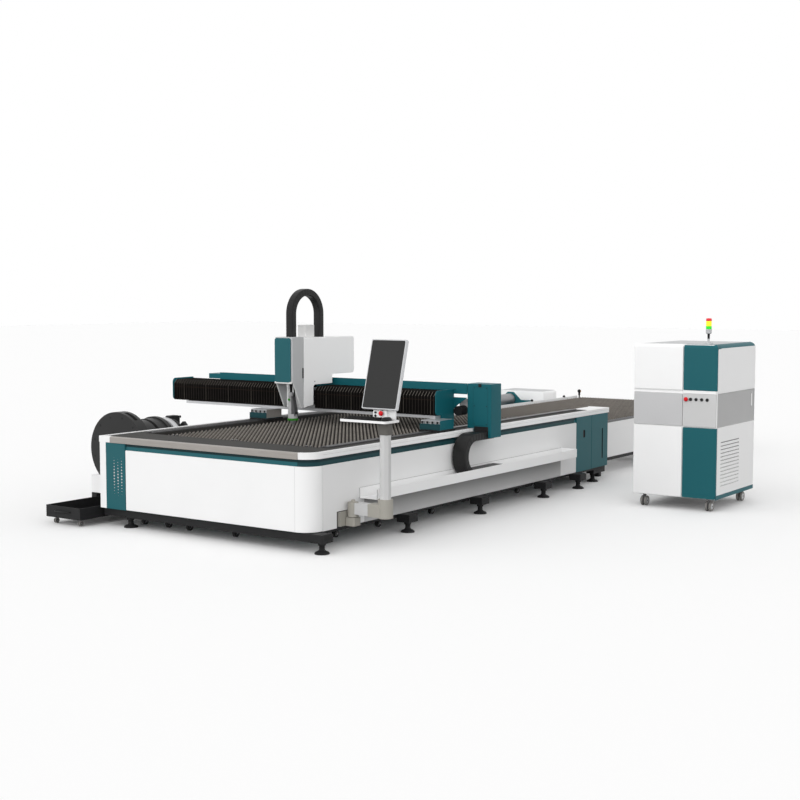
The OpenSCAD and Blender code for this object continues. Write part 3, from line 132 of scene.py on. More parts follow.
class Net:
    """A tree of shader nodes, wired one by one."""

    def __init__(self, owner):
        owner.use_nodes = True
        self.tree = owner.node_tree

    def link(self, out, into):
        self.tree.links.new(out, into)

    def add(self, kind, values=None, vector=None):
        """A new node with constants on its sockets and, where given, a link into its Vector socket."""
        node = self.tree.nodes.new(kind)
        for socket, value in (values or {}).items():
            node.inputs[socket].default_value = value
        if vector is not None:
            self.link(vector, node.inputs["Vector"])
        return node

    def math(self, operation, *outs):
        node = self.add("ShaderNodeMath")
        node.operation = operation
        for out, into in zip(outs, node.inputs):
            self.link(out, into)
        return node.outputs["Value"]

    def span(self, out, low, high, start=0.0, end=1.0):
        """A value taken from the range start to end over to the range low to high, and held there."""
        ranges = {"From Min": start, "From Max": end, "To Min": low, "To Max": high}
        node = self.add("ShaderNodeMapRange", ranges)
        self.link(out, node.inputs["Value"])
        return node.outputs["Result"]

    def by_sight(self, hidden, seen, out_kind):
        """Shows one shader to rays from the camera, in gloss or through glass, and the other to the rest."""
        rays = self.add("ShaderNodeLightPath").outputs
        direct = self.math("MAXIMUM", rays["Is Camera Ray"], rays["Is Glossy Ray"])
        mix = self.add("ShaderNodeMixShader")
        self.link(self.math("MAXIMUM", direct, rays["Is Transmission Ray"]), mix.inputs["Fac"])
        self.link(hidden.outputs[0], mix.inputs[1])
        self.link(seen.outputs[0], mix.inputs[2])
        self.link(mix.outputs["Shader"], self.add(out_kind).inputs["Surface"])


class Look(Net):
    """One node material: a principled shader whose colour, roughness and bump vary over the surface."""

    def __init__(self, name, sockets):
        self.material = bpy.data.materials.new(name)
        super().__init__(self.material)
        self.shader = self.tree.nodes["Principled BSDF"]
        for socket, value in sockets.items():
            self.shader.inputs[socket].default_value = value
        self.coords = self.add("ShaderNodeTexCoord").outputs["Object"]

    def noise(self, scale, detail, stretch=None):
        vector = self.coords
        if stretch:
            vector = self.add("ShaderNodeMapping", {"Scale": stretch}, vector).outputs["Vector"]
        return self.add("ShaderNodeTexNoise", {"Scale": scale, "Detail": detail}, vector).outputs["Fac"]

    def wave(self, scale, direction):
        node = self.add("ShaderNodeTexWave", {"Scale": scale}, self.coords)
        node.bands_direction = direction
        return node.outputs["Fac"]

    def weave(self, scale):
        return self.math("MULTIPLY", self.wave(scale, "X"), self.wave(scale, "Z"))

    def spots(self, scale):
        return self.add("ShaderNodeTexVoronoi", {"Scale": scale}, self.coords).outputs["Distance"]

    def height(self, low, high):
        """0 at the lower height and 1 at the upper one."""
        axes = self.add("ShaderNodeSeparateXYZ", vector=self.coords)
        return self.span(axes.outputs["Z"], 0.0, 1.0, low * MM, high * MM)

    def bump(self, height, strength, distance):
        node = self.add("ShaderNodeBump", {"Strength": strength, "Distance": distance})
        self.link(height, node.inputs["Height"])
        self.link(node.outputs["Normal"], self.shader.inputs["Normal"])

    def finish(self, fac, stops, grain, rough):
        """The material, once its colour follows a ramp and its roughness a grain."""
        ramp = self.add("ShaderNodeValToRGB")
        marks = ramp.color_ramp.elements
        while len(marks) < len(stops):
            marks.new(0.5)
        for mark, (at, colour) in zip(marks, stops):
            mark.position = at
            mark.color = colour
        self.link(fac, ramp.inputs["Fac"])
        self.link(ramp.outputs["Color"], self.shader.inputs["Base Color"])
        self.link(self.span(grain, *rough), self.shader.inputs["Roughness"])
        return self.material


def paint(name, colour, rough=(0.36, 0.48), drift=0.03, peel=0.10, coat=0.0):
    """Powder coat: a slow drift of tone under fine orange peel."""
    look = Look(name, {"Coat Weight": coat, "Coat Roughness": 0.12, "Specular IOR Level": 0.15})
    tone = look.noise(scale=1.7, detail=3.0)
    grain = look.noise(scale=380.0, detail=2.0)
    look.bump(grain, peel, distance=0.0006)
    return look.finish(tone, tones(colour, (0.3, 1 - drift), (0.7, 1 + drift)), grain, rough)


def trough_shadow_coat(name, upper, lower):
    """Painted shadow of the trough on the skirt below it: greyer towards its top edge, just under the trough.
    """
    look = Look(name, {"Specular IOR Level": 0.15})
    drift = look.span(look.noise(scale=1.7, detail=3.0), 0.94, 1.06)
    rise = look.math("MULTIPLY", look.height(160, 350), drift)
    grain = look.noise(scale=380.0, detail=2.0)
    look.bump(grain, strength=0.1, distance=0.0006)
    return look.finish(rise, [(0.0, shade(lower)), (0.9, shade(upper))], grain, (0.4, 0.55))


def metal(name, colour, rough, stretch, metallic):
    """Brushed or ground metal: fine lines along one axis."""
    look = Look(name, {"Metallic": metallic})
    lines = look.noise(4.0, 4.0, stretch)
    look.bump(lines, strength=0.12, distance=0.0004)
    return look.finish(lines, tones(colour, (0.25, 0.86), (0.75, 1.1)), lines, rough)


def plastic(name, colour, rough=(0.38, 0.55), grain_scale=520.0, depth=0.16):
    """Moulded plastic with a fine spark-eroded grain."""
    look = Look(name, {"Specular IOR Level": 0.2})
    grain = look.noise(grain_scale, detail=3.0)
    slow = look.noise(scale=9.0, detail=2.0)
    look.bump(grain, depth, distance=0.0005)
    return look.finish(slow, tones(colour, (0.3, 0.92), (0.7, 1.08)), grain, rough)


def rubber(name, colour):
    look = Look(name, {"Specular IOR Level": 0.15})
    grain = look.noise(scale=240.0, detail=4.0)
    look.bump(grain, strength=0.25, distance=0.0006)
    return look.finish(grain, tones(colour, (0.3, 0.8), (0.75, 1.35)), grain, (0.62, 0.85))


def slat_steel(name, colour, tip_z):
    """Laser-cut mild steel: painted shade darkening the roots under lighter tips, uneven in patches, with
    fine spatter.
    """
    look = Look(name, {"Metallic": 0.15, "Specular IOR Level": 0.15})
    patches = look.span(look.noise(scale=7.0, detail=6.0), 0.7, 1.25)
    root_shade = look.math("MULTIPLY", look.height(tip_z - 28, tip_z - 3), patches)
    spatter = look.spots(170.0)
    look.bump(spatter, strength=0.3, distance=0.0008)
    return look.finish(root_shade, tones(colour, (0.0, 0.08), (0.45, 0.36), (1.0, 1.0)), spatter, (0.4, 0.66))


def bellows_cloth(name, colour, light):
    """Coated cloth of the way covers: crossed threads and a dusty drift."""
    look = Look(name, {"Specular IOR Level": 0.05})
    dust = look.noise(scale=5.0, detail=5.0)
    look.bump(look.weave(260.0), strength=0.25, distance=0.0006)
    return look.finish(dust, [(0.3, shade(colour)), (0.72, shade(light))], dust, (0.82, 0.95))


def lens(name, colour, glow):
    """Ribbed lamp lens, lit from inside."""
    look = Look(name, {"Emission Color": shade(colour), "Emission Strength": glow, "Coat Weight": 0.5})
    ribs = look.wave(75.0, "Z")
    look.bump(ribs, strength=0.4, distance=0.001)
    return look.finish(ribs, tones(colour, (0.0, 0.75), (1.0, 1.0)), ribs, (0.12, 0.3))


def screen_glass(name, colour):
    """Dark glass over a faint grid of pixels, with a smear of dust."""
    look = Look(name, {"Coat Weight": 0.05, "Coat Roughness": 0.06, "Specular IOR Level": 0.1})
    smear = look.noise(scale=14.0, detail=3.0)
    return look.finish(look.weave(480.0), tones(colour, (0.0, 0.92), (1.0, 1.06)), smear, (0.3, 0.42))


TEAL = paint("teal_coat", (36, 94, 101))
TEAL_DARK = paint("teal_shadow_coat", (17, 46, 50))
# a darker teal: on the band under the rim it is painted shade; the gantry feet's front plates take it too
TEAL_BAND = paint("teal_band_coat", (25, 64, 69))
TEAL_GANTRY = paint("teal_gantry_coat", (19, 92, 101))
TEAL_CABINET = paint("teal_cabinet_coat", (29, 94, 102))
WHITE = paint("white_coat", (243, 243, 243), drift=0.012, peel=0.07)
# a darker copy of the white coat for the bed's side panels: painted shade
WHITE_SIDE_SHADED = paint("white_side_shade_coat", (233, 233, 233), drift=0.012, peel=0.07)
# a lighter copy of the white coat for the saddle cover: painted light
WHITE_LIT = paint("white_cover_lit_coat", (250, 250, 250), drift=0.012, peel=0.07)
GREY = paint("grey_coat", (188, 189, 190))
DARK_BAND = paint("dark_grey_coat", (180, 180, 180))
PANEL_GREY = paint("panel_grey_coat", (201, 201, 201))
POST_GREY = paint("post_coat", (214, 214, 213), drift=0.015)
TRIM_GREY = paint("trim_coat", (172, 172, 172))
WARM_BAR = metal("warm_bar_metal", (158, 153, 148), (0.34, 0.5), (3.0, 120.0, 160.0), 0.25)
DECK = paint("deck_coat", (57, 56, 54), (0.62, 0.78), 0.08, 0.2)
BLACK = paint("black_coat", (36, 36, 37), (0.4, 0.56), 0.1, 0.18)
SOFT_BLACK = plastic("black_plastic", (33, 33, 34))
CHAIN = plastic("chain_plastic", (34, 34, 34), (0.34, 0.5), 420.0, 0.12)
SKIRT_SHADOW = trough_shadow_coat("trough_shadow_coat", (150, 150, 150), (196, 196, 196))
VENT_GREY = plastic("vent_shadow", (112, 112, 112))
CASTER_GREY = plastic("caster_tread", (134, 132, 129))
DISC = paint("disc_coat", (50, 50, 50), (0.34, 0.48), 0.07, 0.14)
BEIGE = paint("cast_joint_coat", (166, 163, 155), (0.44, 0.6), 0.05, 0.35)
# the cast joint coat darkened: painted shade under the console tray
JOINT_SHADED = paint("turning_joint_shade_coat", (101, 99, 95), (0.44, 0.6), 0.05, 0.35)
ALUMINIUM = metal("aluminium", (196, 197, 199), (0.28, 0.42), (4.0, 160.0, 160.0), 0.7)
STEEL = metal("ground_steel", (150, 150, 152), (0.22, 0.4), (160.0, 3.0, 160.0), 0.9)
DARK_STEEL = metal("dark_steel", (98, 98, 99), (0.3, 0.5), (160.0, 3.0, 160.0), 0.7)
HEAD_STEEL = metal("laser_head_steel", (160, 160, 161), (0.3, 0.45), (120.0, 120.0, 8.0), 0.3)
SILVER = metal("silver_housing", (206, 207, 209), (0.28, 0.4), (90.0, 90.0, 12.0), 0.55)
SLAT_BED = slat_steel("slat_steel_bed", (150, 144, 137), 762)
SLAT_TABLE = slat_steel("slat_steel_table", (150, 144, 137), 595)
CLOTH = bellows_cloth("bellows_cloth", (15, 14, 13), (22, 20, 19))
CLOTH_RIDGE = bellows_cloth("bellows_ridge", (36, 33, 31), (46, 42, 39))
CLOTH_STIFF = bellows_cloth("bellows_stiffener", (66, 62, 57), (80, 75, 69))
CLOTH_CREST_HIGHLIGHT = bellows_cloth("bellows_crest_highlight", (84, 80, 76), (102, 97, 91))
CLOTH_SEAM = bellows_cloth("bellows_seam", (34, 27, 23), (46, 37, 32))
RUBBER = rubber("tyre_rubber", (26, 26, 26))
GOLD = metal("knob_brass", (190, 140, 40), (0.3, 0.45), (40.0, 40.0, 40.0), 0.6)
RED = plastic("red_plastic", (214, 22, 32), (0.22, 0.34), 300.0, 0.05)
GREEN = plastic("green_plastic", (40, 120, 24), (0.3, 0.42))
SCREEN = screen_glass("screen_glass", (54, 54, 54))
WINDOW = paint("window_pane", (196, 196, 197), (0.10, 0.2), 0.04, 0.03, 0.6)
LAMP_RED = lens("lamp_red", (222, 20, 34), 0.25)
LAMP_YELLOW = lens("lamp_yellow", (250, 240, 10), 0.35)
LAMP_GREEN = lens("lamp_green", (10, 225, 30), 0.3)
SLOT_DARK = plastic("slot_shadow", (16, 16, 17))


def smooth_shade(mesh, angle):
    mesh.polygons.foreach_set("use_smooth", [True] * len(mesh.polygons))
    mesh.set_sharp_from_angle(angle=math.radians(angle))


def round_edges(obj, width, segments, angle):
    mod = obj.modifiers.new("rounded_edges", "BEVEL")
    mod.width = width * MM
    mod.segments = segments
    mod.limit_method = "ANGLE"
    mod.angle_limit = math.radians(angle)
    mod.harden_normals = True


def settle(obj, body, node_names):
    """Makes a new object ride on its body and stand for its CAD nodes."""
    SCENE.collection.objects.link(obj)
    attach(obj, body)
    if node_names:
        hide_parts(*node_names)


def circle(middle, side, up, radius, steps):
    turns = [2 * math.pi * k / steps for k in range(steps)]
    return [middle + (side * math.cos(a) + up * math.sin(a)) * radius for a in turns]


class Form:
    """Collects faces in the machine's millimetres, each with the number of its material."""

    def __init__(self):
        self.points = []
        self.faces = []
        self.slots = []
        self.turn = Matrix.Identity(4)

    def add(self, points, faces, slot=0):
        first = len(self.points)
        self.points += [self.turn @ Vector(p) for p in points]
        self.faces += [[first + i for i in face] for face in faces]
        self.slots += [slot] * len(faces)

    def box(self, low, high, slot=0):
        points = [(x, y, z) for x in (low[0], high[0]) for y in (low[1], high[1]) for z in (low[2], high[2])]
        faces = [(0, 1, 3, 2), (4, 6, 7, 5), (0, 4, 5, 1), (2, 3, 7, 6), (0, 2, 6, 4), (1, 5, 7, 3)]
        self.add(points, faces, slot)

    def skin(self, rows, slot=0, loop=False):
        """Bands between rows of points, all of one length; the ends are capped, or joined in a loop."""
        count, n = len(rows), len(rows[0])
        faces = []
        for i in range(count if loop else count - 1):
            j = (i + 1) % count
            faces += [(i * n + k, i * n + (k + 1) % n, j * n + (k + 1) % n, j * n + k) for k in range(n)]
        if not loop:
            faces += [range(n), range((count - 1) * n, count * n)]
        self.add([p for row in rows for p in row], faces, slot)

    def prism(self, outline, axis, low, high, slot=0):
        """An outline in the plane across an axis, drawn out along it."""
        def at(p, q, h):
            return {"x": (h, p, q), "y": (p, h, q), "z": (p, q, h)}[axis]
        self.skin([[at(p, q, h) for p, q in outline] for h in (low, high)], slot)

    def lathe(self, centre, axis, profile, slot=0, steps=32, loop=False):
        """(radius, height) pairs turned about an axis through centre; loop closes the profile on itself."""
        along = AXES[axis]
        side = AXES["y" if axis == "x" else "x"]
        up = along.cross(side)
        base = Vector(centre)
        rows = [circle(base + along * height, side, up, radius, steps) for radius, height in profile]
        self.skin(rows, slot, loop)

    def tube(self, path, radius, steps):
        """A round bar swept along a path of points."""
        path = [Vector(p) for p in path]
        side = None
        rows = []
        for i, p in enumerate(path):
            ahead = (path[min(i + 1, len(path) - 1)] - path[max(i - 1, 0)]).normalized()
            if side is None:
                side = ahead.orthogonal().normalized()
            side = (side - ahead * side.dot(ahead)).normalized()
            rows.append(circle(p, side, ahead.cross(side), radius, steps))
        self.skin(rows)

    def mesh(self, name, materials, smooth):
        mesh = bpy.data.meshes.new(name)
        mesh.from_pydata([place(p) for p in self.points], [], self.faces)
        mesh.polygons.foreach_set("material_index", self.slots)
        for material in materials:
            mesh.materials.append(material)
        bm = bmesh.new()
        bm.from_mesh(mesh)
        bmesh.ops.recalc_face_normals(bm, faces=bm.faces[:])
        bm.to_mesh(mesh)
        bm.free()
        smooth_shade(mesh, smooth)
        return mesh

    def build(self, name, body, materials, stands_for=(), bevel=0.0, segments=2, smooth=40):
        obj = bpy.data.objects.new(name, self.mesh(name, materials, smooth))
        if bevel:
            round_edges(obj, bevel, segments, angle=40)
        settle(obj, body, stands_for)

    def build_across(self, name, materials, node, smooth):
        """A piece of a flexible part, placed in the frame without a body, standing for its CAD node."""
        obj = bpy.data.objects.new(name, self.mesh(name, materials, smooth))
        SCENE.collection.objects.link(obj)
        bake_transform(obj)
        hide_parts(node)


def rounded(outline, radii, steps=6):
    """An outline with each corner turned on its radius."""
    out = []
    n = len(outline)
    for i, corner in enumerate(outline):
        c = Vector(corner)
        a = (Vector(outline[i - 1]) - c).normalized()
        b = (Vector(outline[(i + 1) % n]) - c).normalized()
        r = radii[i] if isinstance(radii, (list, tuple)) else radii
        half = a.angle(b) / 2
        if r <= 0 or half > math.radians(88):
            out.append(tuple(c))
            continue
        reach = r / math.tan(half)
        start, end = c + a * reach, c + b * reach
        middle = c + (a + b).normalized() * (r / math.sin(half))
        s, e = start - middle, end - middle
        turn = s.angle_signed(e)
        for k in range(steps + 1):
            t = -turn * k / steps
            out.append((middle.x + s.x * math.cos(t) - s.y * math.sin(t),
                        middle.y + s.x * math.sin(t) + s.y * math.cos(t)))
    return out


def oblong(p0, q0, p1, q1, r):
    return rounded([(p0, q0), (p1, q0), (p1, q1), (p0, q1)], r)


def dressed(node, materials, bevel=3.0, segments=2, pick=None):
    """A CAD node's own shape with its edges rounded; pick(middle, normal) chooses a face's material."""
    source = nodes[node]
    mesh = source.data.copy()
    mesh.name = node + "_finish"
    mesh.materials.clear()
    materials = materials if isinstance(materials, list) else [materials]
    for material in materials:
        mesh.materials.append(material)
    if "custom_normal" in mesh.attributes:
        mesh.attributes.remove(mesh.attributes["custom_normal"])
    bm = bmesh.new()
    bm.from_mesh(mesh)
    bmesh.ops.remove_doubles(bm, verts=bm.verts[:], dist=WELD)
    bmesh.ops.dissolve_limit(bm, angle_limit=FLAT_ANGLE, verts=bm.verts[:], edges=bm.edges[:])
    for face in bm.faces:
        middle = face.calc_center_median() / MM - SHIFT
        face.material_index = pick(middle, face.normal) if pick else 0
    bm.to_mesh(mesh)
    bm.free()
    smooth_shade(mesh, angle=32)
    obj = bpy.data.objects.new(node + "_finish", mesh)
    if bevel:
        round_edges(obj, bevel, segments, angle=38)
    settle(obj, source["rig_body"], [node])


# camera and light

CAMERA_PLACE = (7.2105, -12.0985, 2.0)
CAMERA_AZIMUTH = math.radians(34.942)
CAMERA_ELEVATION = math.radians(4.545)
LENS = 60.3
# soft light from all round: its base level, what the front and the sides add, and its share overhead
LIGHT_BASE = 0.97
LIGHT_FRONT = 1.74
LIGHT_SIDES = 0.24
LIGHT_ABOVE = 0.5
FLOOR_HALF = 60.0
FLOOR_Z = -0.0005
FLOOR_BOUNCE = (0.24, 0.24, 0.24, 1.0)
PURE_WHITE = (1.0, 1.0, 1.0, 1.0)


def make_camera():
    camera = bpy.data.objects.new("photo_camera", bpy.data.cameras.new("photo_camera"))
    SCENE.collection.objects.link(camera)
    camera.data.lens = LENS
    camera.data.sensor_width = 36.0
    camera.data.clip_end = 200.0
    camera.location = CAMERA_PLACE
    camera.rotation_euler = (math.pi / 2 - CAMERA_ELEVATION, 0.0, CAMERA_AZIMUTH)
    SCENE.camera = camera


def make_light():
    """Soft light from all round, under a backdrop that looks white."""
    world = bpy.data.worlds.new("studio")
    SCENE.world = world
    net = Net(world)
    net.tree.nodes.clear()
    axes = net.add("ShaderNodeSeparateXYZ", vector=net.add("ShaderNodeTexCoord").outputs["Generated"]).outputs
    front = net.span(axes["Y"], LIGHT_BASE + LIGHT_FRONT, LIGHT_BASE, -1.0, 0.0)
    sides = net.span(net.math("ABSOLUTE", axes["X"]), 0.0, LIGHT_SIDES)
    above = net.span(axes["Z"], 1.0, LIGHT_ABOVE)
    soft = net.add("ShaderNodeBackground", {"Color": PURE_WHITE})
    net.link(net.math("MULTIPLY", net.math("ADD", front, sides), above), soft.inputs["Strength"])
    white = net.add("ShaderNodeBackground", {"Color": PURE_WHITE, "Strength": 1.0})
    net.by_sight(soft, white, "ShaderNodeOutputWorld")


def make_floor():
    """A floor that looks white and throws little light back."""
    mesh = bpy.data.meshes.new("floor")
    h = FLOOR_HALF
    mesh.from_pydata([(-h, -h, 0), (h, -h, 0), (h, h, 0), (-h, h, 0)], [], [(0, 1, 2, 3)])
    material = bpy.data.materials.new("pale_floor")
    net = Net(material)
    net.tree.nodes.clear()
    matt, pale = (net.add("ShaderNodeBsdfDiffuse", {"Color": c}) for c in (FLOOR_BOUNCE, PURE_WHITE))
    net.by_sight(matt, pale, "ShaderNodeOutputMaterial")
    mesh.materials.append(material)
    floor = bpy.data.objects.new("floor", mesh)
    SCENE.collection.objects.link(floor)
    floor.location.z = FLOOR_Z


bpy.context.scene.view_settings.view_transform = "Standard"
make_camera()
make_light()
make_floor()


# bed

def in_slot(m):
    """The inside of a grip or slot cut into the bed's right side."""
    return 1 if 1150.5 < m.x < 1161.8 and 247 < m.z < 590 else 0


def shell_line(inset):
    """The line of the bed's front and right side, set in from their faces, with its rounded corner."""
    r = BEND_R - inset
    turns = [k * math.pi / 24 for k in range(1, 12)]
    bend = [(BEND_X + r * math.sin(a), BEND_R - r * math.cos(a)) for a in turns]
    return [(-1000, inset), (BEND_X, inset)] + bend + [(BED_SIDE - inset, BEND_R), (BED_SIDE - inset, 5098)]


def make_bed():
    dressed("bed_shell", [TEAL, SLOT_DARK], 2, pick=lambda m, n: in_slot(m) if m.z > 500 else 0)
    dressed("front_panel", WHITE, 3, 3)
    dressed("vent_panel", TEAL, 1)
    # the side panels take the darker white: painted shade
    dressed("side_panels", WHITE_SIDE_SHADED, 3, 3)
    dressed("bed_rim", WHITE, 4, 3)
    dressed("front_bar", WARM_BAR, 2)
    dressed("bed_deck", DECK, 2)
    dressed("guide_rails", DARK_STEEL, 2)
    dressed("service_door", [TEAL, SLOT_DARK], 3, 3, pick=lambda m, n: in_slot(m) if 4955 < m.y < 4995 else 0)
    dressed("chain_trough", WHITE, 1.5)
    dressed("exchange_frame", BLACK, 3)
    dressed("exchange_panels", WHITE, 3)
    lines = Form()
    lines.box((1161, 165, 756), (1162.5, 5100, 758))
    lines.box((BEND_X - 1.2, -0.5, 160), (BEND_X + 1.2, 1.5, 670))
    for y, top in ((160, 670), (1190, 330), (1830, 330)):
        lines.box((1160.5, y - 1.2, 160), (1162.5, y + 1.2, top))
    lines.build("rim_fold_lines", "bed", [PANEL_GREY], (), bevel=0.4)
    shadow = Form()
    edge, inner = shell_line(11.4), shell_line(16)
    foot, mid, top = 672.6, 704, 726.6
    shadow.prism(edge + inner[::-1], "z", mid, top)
    # the band's lower part on the corner and the right side in darker teal: painted shade under the rim
    shadow.prism(edge[2:-1] + inner[2:-1][::-1], "z", foot, mid, 1)
    shadow.box((1146, BEND_R, foot), (1150.5, 4350, mid), 1)
    # a black sheet in the side panels' notch behind the console bracket: painted shade
    shadow.box((1150.4, 338.5, 157.5), (1151.6, 527.5, 287.5), 2)
    shadow.build("rim_shadow_strip", "bed", [TEAL_DARK, TEAL_BAND, SOFT_BLACK], ())
    # a thin sheet over the lower side panel that carries the trough's painted shadow, with thin trim lines at
    # the trough
    skirt = Form()
    skirt.box((1161, 700, 158), (1162.6, 4040, 360.5))
    skirt.box((1162.4, 640, 445), (1168, 4040, 447.4), 1)
    for x in (1162.4, 1336.6):
        skirt.box((x, 633.4, 361), (x + 5.6, 635.2, 445), 1)
    skirt.build("lower_skirt_shadow", "bed", [SKIRT_SHADOW, TRIM_GREY], (), bevel=0.4)
    rail = Form()
    rail.prism(oblong(984.6, 579, 999.4, 606, 3), "y", 5140, 8536)
    for y in (7278, 8158):
        rail.prism(oblong(y - 22, 600, y + 22, 624, 5), "x", -1000, -984, 1)
        rail.lathe((-992.5, y, 624), "z", [(6, -2), (6, 5), (4, 7)], 1, 6)
    knob = (-943.6, 8510.6, 666)
    rail.lathe(knob, "z", [(14, -58), (14, -20), (20, -16), (25, 0), (20, 15), (10, 22), (2, 24)], 1, 28)
    rail.lathe(knob, "x", [(9, 20), (9, 25), (4, 27)], 2, 16)
    rail.build("table_side_rail", "bed", [DARK_STEEL, SOFT_BLACK, GOLD], (), bevel=1.5)


def make_base():
    """The welded base: deep front and rear beams, shallow side beams, and outriggers over the feet."""
    form = Form()
    x1, x2, y0, y1, wide, low, shallow, top = 1136, 1262, 26, 5095, 110, 90, 131, 157
    inside = x1 - wide - GAP
    for s in (-1, 1):
        x = s * (x1 - wide / 2)
        form.box((x - wide / 2, y0 + wide, shallow), (x + wide / 2, y1 - wide - GAP, top))
    for y in (y0, y1 - wide):
        form.box((-x1, y, low), (x1, y + wide, top))
    for y in OUTRIGGERS[1:4]:
        form.box((-inside, y, low), (inside, y + wide, top - GAP))
    for s in (-1, 1):
        x = s * REAR_FOOT_X
        form.box((x - 44, 4825, low), (x + 44, y1 - wide - GAP, shallow - GAP))
    for y in OUTRIGGERS:
        form.box((x1 + GAP, y - 60, low), (x2, y + 60, top - 0.5))
        form.box((x2, y - 64, low - 1), (x2 + 8, y + 64, top - 4))
        form.box((x2 + 6, y - 44, low + 16), (x2 + 8.6, y + 44, top - 18), 1)
        for side in (y - 62, y + 62):
            form.prism([(x1 + 8, low - 1), (x2, low - 1), (x2, top - 20)], "y", side - 2, side + 2)
    form.build("base_frame_welded", "bed", [BLACK, SLOT_DARK], ["base_frame"], bevel=2)


def make_feet():
    form = Form()
    spots = [(1210, y) for y in OUTRIGGERS] + [(-1060, y) for y in OUTRIGGERS[1:]]
    spots += [(-872, 81), (REAR_FOOT_X, 4885), (-REAR_FOOT_X, 4885)]
    pad = [(59, 0), (60, 4), (58, 10), (50, 17), (34, 23), (26, 30), (22, 40), (21, 89)]
    for x, y in spots:
        form.lathe((x, y, 0), "z", pad, 0, 28)
        form.lathe((x, y, 0), "z", [(33, 68), (34, 70), (34, 88), (33, 90)], 0, 6)
        for k in range(5):
            form.lathe((x, y, 44 + 4.6 * k), "z", [(22, 0), (23.5, 1.2), (22, 2.4)], 0, 20)
    form.build("levelling_feet_cast", "bed", [BLACK], ["levelling_feet"], smooth=35)


def make_rollers():
    form = Form()
    spots = [(1081, y, 98) for y in (420, 1000, 1800, 2700, 3300)]
    spots += [(x, 81, 72) for x in (-700, -420, -180, 330)]
    tread = [(20, -15), (28, -15), (31, -12), (31, 12), (28, 15), (20, 15), (17, 10), (17, -10)]
    for x, y, z in spots:
        form.lathe((x, y, z), "x", tread, 0, 28, True)
        form.lathe((x, y, z), "x", [(16, -12), (17, -9), (17, 9), (16, 12)], 1, 20)
        form.lathe((x, y, z), "x", [(6, -21), (6, 21)], 1, 12)
        cheek = [(y - 11, z - 12), (y + 11, z - 12), (y + 18, z + 31), (y - 18, z + 31)]
        for side in (x - 18, x + 18):
            form.prism(rounded(cheek, [9, 9, 2, 2]), "x", side - 1.5, side + 1.5, 2)
        form.box((x - 22, y - 20, z + 29), (x + 22, y + 20, z + 33.5), 2)
    form.build("base_rollers_forked", "bed", [RUBBER, STEEL, BLACK], ["base_rollers"], smooth=35)


def make_pallet(name, node, body, y0, top, slat):
    """A frame of bars on small wheels, filled with toothed slats whose tips are worn unevenly."""
    form = Form()
    half, bar, length, slat_h, tooth_h, drop = 915, 30, 3350, 62, 30, 24
    inside = half - bar - GAP
    low = top - slat_h - 70
    for x in (-half, half - bar):
        form.box((x, y0, low), (x + bar, y0 + length, top - drop), 1)
    for y in (y0, y0 + length - bar):
        form.box((-inside, y, low), (inside, y + bar, top - drop), 1)
    for k in range(4):
        y = y0 + (k + 1) * length / 5
        form.box((-inside, y - bar, low), (inside, y + bar, top - slat_h - GAP), 1)
    for share in (0.06, 0.35, 0.65, 0.94):
        for x in (-half - 5, half + 5):
            wheel = [(15, -19), (16, -17), (16, 17), (15, 19)]
            form.lathe((x, y0 + share * length, low + 16), "x", wheel, 2, 20)
    teeth, pitch = 44, 53.2
    count = int((length - 2 * bar - pitch) / pitch)
    first = y0 + (length - count * pitch) / 2
    step = 2 * inside / teeth
    for i in range(count + 1):
        y = first + i * pitch
        edge = [(-inside, top - slat_h)]
        for t in range(teeth):
            x = -inside + t * step
            tip = top - 1.6 + 0.8 * math.sin(7.1 * t + 3.3 * i) + 0.8 * math.sin(2.7 * t - 1.9 * i)
            edge += [(x, top - tooth_h), (x + 0.4 * step, tip), (x + 0.6 * step, tip)]
        edge += [(inside, top - tooth_h), (inside, top - slat_h)]
        form.prism(edge, "y", y - 1.5, y + 1.5)
    form.build(name, body, [slat, DECK, STEEL], [node], smooth=20)


def make_bed_small_parts():
    eyelets = Form()
    for i in range(13):
        for j in (-1, 0, 1):
            row = i + abs(j) / 2
            # a plug for the panel's own hole, then a dot on the face
            eyelets.lathe((-962.1 + j * 52, 0, 250 + row * 30), "y", [(5.6, 6), (5.6, -0.3)], 1, 16)
            r = 1.4 + 6.6 * (1 - abs(i - 6) / 6) ** 0.7
            rim = [(r, 0.5), (r, -0.8), (r - 0.5, -1.6), (r * 0.5, -1.3), (0.5, -1.1)]
            eyelets.lathe((-934 + j * 45, 0, 440 + (row - 6.25) * 26), "y", rim, 0, 16)
    eyelets.build("vent_eyelets", "bed", [GREY, TEAL], ())
    clamps = Form()
    jaw = rounded([(414, 752), (444, 752), (438, 776), (420, 776)], 4)
    for x in (-673, 10, 617, 804):
        clamps.box((x - 34, 412, 739), (x + 34, 446, 752))
        for side in (x - 22, x + 22):
            clamps.prism(jaw, "x", side - 10, side + 10)
            clamps.lathe((side, 429, 776), "z", [(7, 0), (7, 4), (5.5, 6)], 1, 6)
    clamps.build("sheet_clamps", "pallet_in_bed", [SOFT_BLACK, STEEL], (), bevel=1.2)
    stops = Form()
    for y in (3506, 3596, 3686):
        stops.prism(oblong(y - 24, 738, y + 24, 770, 6), "x", 826, 884)
        stops.lathe((855, y, 770), "z", [(9, -1), (9, 4), (6, 6)], 1, 6)
    stops.build("pallet_stops", "pallet_in_bed", [SOFT_BLACK, STEEL], (), bevel=1.5)


make_bed()
make_base()
make_feet()
make_rollers()
make_pallet("slats_in_bed", "pallet_upper", "pallet_in_bed", 410, 762, SLAT_BED)
make_pallet("slats_on_table", "pallet_lower", "pallet_on_table", 5181, 595, SLAT_TABLE)
make_bed_small_parts()


# gantry

